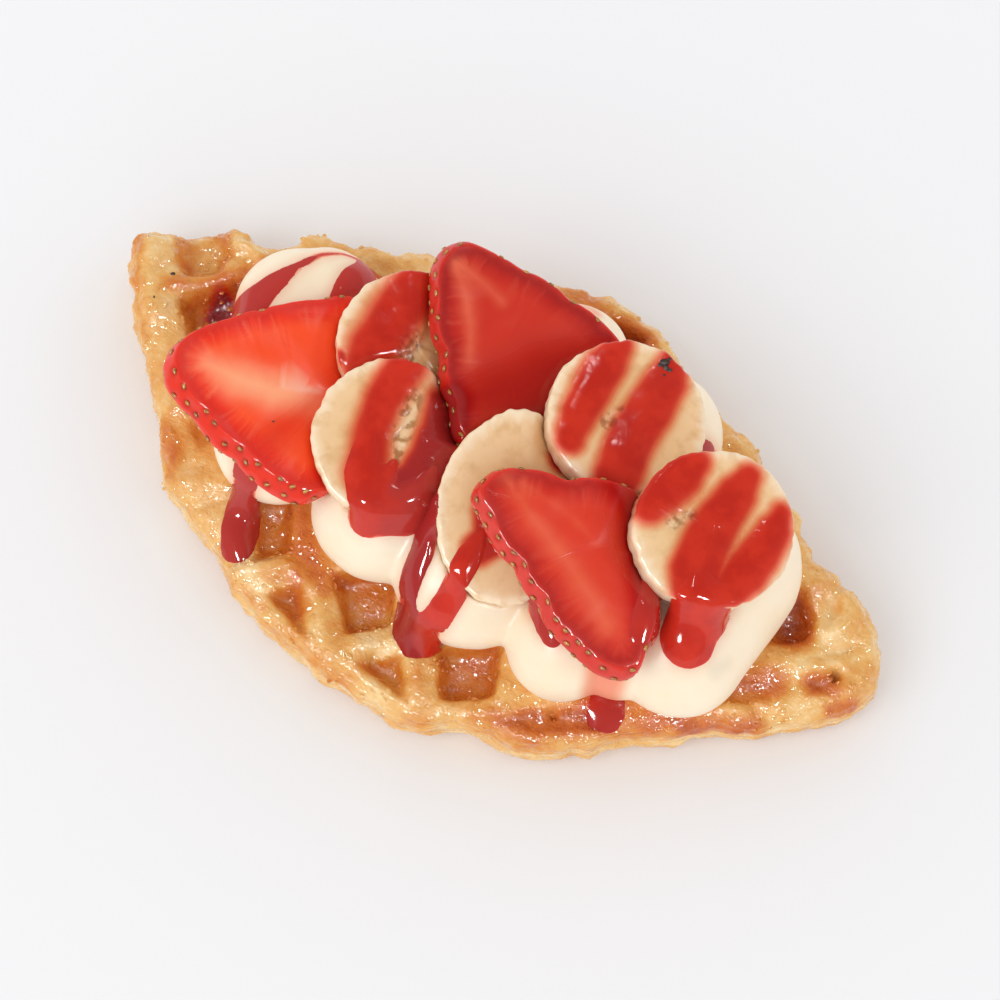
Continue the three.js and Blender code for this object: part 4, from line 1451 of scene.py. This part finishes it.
# %% Banana finish
for seed, (name, core) in enumerate(CORES.items()):
    piece = slices[name]
    points = points_of(piece)
    heart = stroke_field(points, [(1.0, 1.6, core)])
    top_side = normals_of(piece)[:, 2] > 0.8
    points[:, 2] += top_side * heart * (0.3 * noise(points, 1.3, 90 + seed) - 0.15)
    set_points(piece, points)
    store(piece, "core", heart)
    stain_attributes(piece, SAUCE[name][1] if name in SAUCE else SAUCE["middle"][1])
    flesh = Finish("banana_flesh_" + name[-1], 0.3)
    flat = flesh.read("flat", vector=True)
    spoke = flesh.read("spoke", vector=True)
    core_share = flesh.read("core")
    uneven = flesh.soft_noise(flesh.stretch(flat, shift=(seed * 9.0, 0, 0)), 0.3, 3, 0.55)
    lumps = flesh.soft_noise(flesh.stretch(flat, shift=(0, seed * 7.0, 0)), 0.6)
    rays = flesh.soft_noise(flesh.stretch(spoke, (9, 9, 0.6), (seed * 5.0, 0, 0)), 1.0)
    colour = flesh.ramp(flesh.plus(flesh.read("out"), flesh.swing(rays, 0.2)), [
        (0.0, linear(222, 174, 118)), (0.3, linear(228, 184, 128)), (0.6, linear(235, 194, 142)),
        (0.85, linear(240, 202, 154)), (0.96, linear(247, 222, 188))])
    colour = flesh.mix(flesh.between(uneven, 0.45, 0.75, 0, 0.6), colour, linear(218, 170, 112))
    heart_colour = flesh.mix(flesh.between(lumps, 0.42, 0.62), linear(232, 196, 150),
                             linear(180, 130, 78))
    colour = flesh.mix(flesh.between(core_share, 0.15, 0.8), colour, heart_colour)
    blots = flesh.soft_noise(flesh.stretch(flat, (1, 1, 0.3), (seed * 3.3, 1.7, 0)), 0.9)
    spots = flesh.times(flesh.between(blots, 0.6, 0.76), flesh.between(core_share, 0.3, 0.8))
    colour = flesh.mix(flesh.times(spots, 0.8), colour, linear(116, 80, 58))
    normal = flesh.bump(uneven, 0.3, 0.5)
    normal = flesh.bump(rays, 0.12, 0.35, below=normal)
    flesh.finish(piece, under_sauce(flesh, colour), normal=normal, Specular_IOR_Level=0.4,
                 roughness=flesh.between(flesh.read("tint"), 0.2, 0.8, 0.3, 0.13),
                 Subsurface_Weight=0.15, Subsurface_Scale=0.003,
                 Subsurface_Radius=(1.0, 0.6, 0.3))
print("steps in each banana's finish:", len(flesh.nodes))

# %% [markdown]
# ### Strawberry
# A cut strawberry is orange red with a salmon heart; pale fibres run straight in from its edge.
# Its skin is a deeper pink red, with painted shade darker in the seeds' dimples. Sauce turns parts
# of the cut face deep red, and a painted highlight, a pale pink streak, lies on the first slice's
# heart. The fibres are a noise in (along the edge, in from the edge), so they turn with the
# outline, and the heart is drawn in strokes, because no two berries have the same.

# %% Strawberry marks and shades
BERRY_FLESH = {  # soaked, heart and painted highlight strokes; colours from the edge to the heart
    "strawberry_slice_1": (
        [(0.75, 3.5, [(-27.0, 6.0, 2.0), (-29.4, -2.0, 2.0), (-31.0, -10.0, 1.6),
                      (-33.0, -19.0, 2.6)]),
         (0.5, 2.0, [(-42.0, 5.0, 1.0), (-34.0, 9.0, 1.6)])],
        [(1.0, 5.2, [(-51.0, -13.0, 1.4), (-44.6, -12.2, 2.8), (-38.0, -10.4, 3.2),
                     (-31.6, -8.0, 2.0)])],
        # Painted highlight: a pale pink streak across the first slice's heart, standing in for a
        # reflection.
        [(1.0, 0.7, [(-37.0, -8.8, 0.3), (-34.0, -7.4, 0.7), (-30.8, -5.8, 0.5)])],
        [(214, 30, 14), (238, 46, 16), (252, 76, 28), (255, 166, 122)]),
    "strawberry_slice_2": (
        [(0.9, 5.5, [(-7.5, 4.5, 2.0), (-3.0, 10.0, 4.5), (4.0, 17.0, 7.0), (11.0, 25.0, 6.0)])],
        [(0.7, 2.4, [(-22.0, 26.6, 0.8), (-17.0, 22.8, 1.1), (-12.4, 17.6, 1.0),
                     (-9.4, 12.4, 0.6)]),
         (0.6, 2.2, [(-21.0, 27.2, 0.6), (-15.0, 26.6, 1.0), (-10.6, 25.6, 0.7)])],
        [],
        [(156, 14, 12), (190, 28, 14), (206, 44, 22), (232, 108, 74)]),
    "strawberry_slice_3": (
        [(0.8, 4.5, [(21.0, 6.5, 1.6), (30.0, 3.5, 4.0), (37.0, -2.0, 4.2), (42.0, -9.0, 2.6)])],
        [(0.6, 3.0, [(9.0, -4.8, 0.4), (17.0, -8.0, 0.9), (26.0, -11.0, 1.6),
                     (34.0, -14.2, 2.0), (39.0, -17.0, 1.8)]),
         (0.4, 2.0, [(13.0, -4.0, 0.4), (24.0, -4.4, 0.8), (30.0, -5.8, 0.5)])],
        [],
        [(174, 22, 14), (202, 36, 18), (220, 54, 26), (238, 112, 76)]),
}

# %% Strawberry finish
for seed, (name, (soaked, hearts, painted_highlight_strokes, shades)) in enumerate(BERRY_FLESH.items()):
    deep, ring, inner, pale = (linear(*shade) for shade in shades)
    piece = slices[name]
    points = points_of(piece)
    stain_attributes(piece, SAUCE[name][1] if name in SAUCE else [SAUCE["banana_slice_2"][1][1]])
    store(piece, "soak", np.clip(stroke_field(points, soaked), 0, 1))
    store(piece, "heart", np.clip(stroke_field(points, hearts), 0, 1))
    # Painted highlight: where the pale pink reflection streak is put into the cut face's colour.
    store(piece, "slit", np.clip(stroke_field(points, painted_highlight_strokes), 0, 1))
    fruit = Finish("strawberry_flesh_" + name[-1], 0.17)
    flat = fruit.read("flat", vector=True)
    uneven = fruit.soft_noise(fruit.stretch(flat, shift=(seed * 9.0, 0, 0)), 0.22, 3)
    along_edge = fruit.read("fibre", vector=True)
    broad = fruit.soft_noise(fruit.stretch(along_edge, (0.42, 0.05, 1), (seed * 31.0, 0, 0)), 1.0, 1)
    thin = fruit.soft_noise(fruit.stretch(along_edge, (0.9, 0.06, 1), (seed * 17.0, 0, 0)), 1.0, 1)
    inset = fruit.read("inset")
    near_edge = fruit.between(inset, 6.0, 2.5)
    broad = fruit.swing(broad, near_edge)
    wavy = fruit.plus(inset, fruit.times(broad, 2.4))
    colour = fruit.ramp(fruit.between(wavy, -0.4, 8.0), [
        (0.0, deep), (0.24, ring), (0.62, inner), (1.0, inner)])
    band = fruit.times(fruit.between(inset, 0.4, 1.6), fruit.between(inset, 7.0, 3.0))
    streaks = fruit.times(fruit.between(thin, 0.45, 0.75), band)
    colour = fruit.mix(fruit.times(streaks, 0.12), colour, pale)
    heart = fruit.plus(fruit.read("heart"), fruit.swing(fruit.plus(uneven, broad), 0.35))
    colour = fruit.mix(fruit.between(heart, 0.0, 1.0), colour, pale)
    # Painted highlight: the cut face is mixed towards pale pink along the highlight strokes.
    colour = fruit.mix(fruit.times(fruit.read("slit"), 0.7), colour, linear(252, 196, 172))
    colour = fruit.mix(fruit.times(fruit.read("soak"), 0.8), colour, deep)
    skin = fruit.mix(uneven, ring, linear(222, 66, 54))
    # Painted shade: the skin is darkened in the seeds' dimples, as if they lay in shade.
    skin = fruit.mix(fruit.times(fruit.read("dimple"), 0.75), skin, linear(140, 30, 22))
    cut = fruit.times(fruit.read("face"), fruit.between(wavy, -0.6, 1.2, 0.4, 1.0))
    colour = fruit.mix(cut, skin, colour)
    normal = fruit.bump(fruit.times(thin, near_edge), 0.12, 0.3)
    normal = fruit.bump(uneven, 0.35, 0.3, below=normal)
    gloss = fruit.work_out("MAXIMUM", fruit.read("soak"),
                           fruit.work_out("SUBTRACT", 1.0, fruit.read("face")))
    fruit.finish(piece, under_sauce(fruit, colour), normal=normal, Specular_IOR_Level=0.36,
                 roughness=fruit.between(gloss, 0.2, 0.8, 0.3, 0.13), Subsurface_Weight=0.12,
                 Subsurface_Scale=0.003, Subsurface_Radius=(1.0, 0.25, 0.12))
print("steps in each strawberry's finish:", len(fruit.nodes))

# %% Seed finish
husk = Finish("seed_husk", 0.3)
shade = husk.soft_noise(husk.place, 1.2 * PER_MM, 2)
husk.finish(berry_seeds, husk.mix(husk.between(shade, 0.35, 0.65), linear(206, 150, 70),
                                  linear(150, 96, 40)), normal=husk.bump(shade, 0.1, 0.5))
print("steps in the seeds' finish:", len(husk.nodes))

# %% [markdown]
# ### Dough
# Baked dough is pale on its folds and sides and runs through gold and amber to brown where the
# iron pressed hardest. Syrup soaked into it gives a wet gloss that is broken into many small
# glints: that gloss is a coat with bumps of its own, over a duller crust. Fine fibres run
# lengthwise on the top, and thin layers run round the sides.

# %% Dough finish
BAKED = [(0.0, linear(246, 212, 152)), (0.2, linear(236, 180, 100)), (0.42, linear(222, 142, 52)),
         (0.62, linear(210, 110, 30)), (0.82, linear(184, 80, 18)), (1.0, linear(132, 46, 12))]


def dough_finish(name, gloss):
    """A finish with its colour, roughness (down to gloss) and bumps, not yet put on."""
    baked = Finish(name, 0.5)
    middle = baked.soft_noise(baked.place, 0.28 * PER_MM, 4, 0.6, 0.6)
    fine = baked.soft_noise(baked.place, 1.0 * PER_MM, 3, 0.6)
    spots = baked.soft_noise(baked.place, 0.55 * PER_MM, 2, 0.5)
    fibres = baked.soft_noise(baked.stretch(baked.place, (0.5 * PER_MM, 1.2 * PER_MM, PER_MM)),
                              1.0, 3, 0.6, 0.5)
    side = baked.read("side")
    shade = baked.plus(baked.read("brown"), baked.swing(middle, 0.5))
    shade = baked.plus(shade, baked.swing(fine, 0.16))
    leaves = baked.soft_noise(baked.stretch(baked.read("grain", vector=True), (0.08, 0.3, 1.2)),
                              1.0, 3, 0.6)
    lines = baked.plus(fibres, baked.times(side, baked.work_out("SUBTRACT", leaves, fibres)))
    shade = baked.plus(shade, baked.swing(lines, baked.between(side, 0.0, 1.0, 0.14, 0.7)))
    colour = baked.ramp(shade, BAKED)
    normal = baked.bump(lines, 0.45, 0.5)
    normal = baked.bump(middle, 0.6, 0.6, below=normal)
    normal = baked.bump(fine, 0.2, 0.7, below=normal)
    film = baked.bump(baked.soft_noise(baked.place, 0.55 * PER_MM, 1), 1.4, 1.0)
    baked.put(baked.shader.inputs["Coat Normal"], film)
    baked.put(baked.shader.inputs["Coat Weight"], baked.between(spots, 0.35, 0.6, 0.25, 1.0))
    crust = baked.between(spots, 0.42, 0.62, 0.5, gloss)
    return baked, colour, crust, normal


stain_attributes(croffle, [stroke for hosts, strokes in SAUCE.values() if "croffle" in hosts
                           for stroke in strokes])
baked, colour, crust, normal = dough_finish("baked_dough", 0.22)
baked.finish(croffle, under_sauce(baked, colour), roughness=crust, normal=normal,
             Coat_Roughness=0.1, Coat_IOR=1.5, Specular_IOR_Level=0.35)
print("steps in the dough's finish:", len(baked.nodes))

# %% [markdown]
# The beads of syrup are clear, so they take the colour of the dough below them, with more
# gloss. A glass material could do it, but would come out dark once exported. The specks are
# dull and nearly black.

# %% Glaze and speck finishes
syrup, colour, _, normal = dough_finish("glaze", 0.1)
syrup.finish(glaze, colour, roughness=syrup.between(syrup.soft_noise(
    syrup.place, 0.8 * PER_MM), 0.3, 0.7, 0.12, 0.22), Specular_IOR_Level=0.7)
char = Finish("burnt", 0.6)
grains = char.soft_noise(char.place, 2.0 * PER_MM, 2)
char.finish(burnt, char.mix(grains, linear(34, 22, 18), linear(66, 40, 28)),
            normal=char.bump(grains, 0.1, 0.6))
print("steps in the glaze's finish:", len(syrup.nodes))

# %% [markdown]
# ### Sauce
# The sauce is glossy; its colour follows the rule above, from what lies below it at its soft
# edges to its own red where it is thick.

# %% Sauce finish
wet = Finish("strawberry_sauce", 0.1)
swirl = wet.soft_noise(wet.place, 0.5 * PER_MM, 2)
wet.finish(sauce, under_sauce(wet, wet.read("host", vector=True)),
           normal=wet.bump(swirl, 0.15, 0.25), Specular_IOR_Level=0.34)
print("finishes:", len(bpy.data.materials))

# %% Sizes, and the end
low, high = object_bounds()
print("visual box, mm:", [round(v / MM, 1) for v in (high - low)])
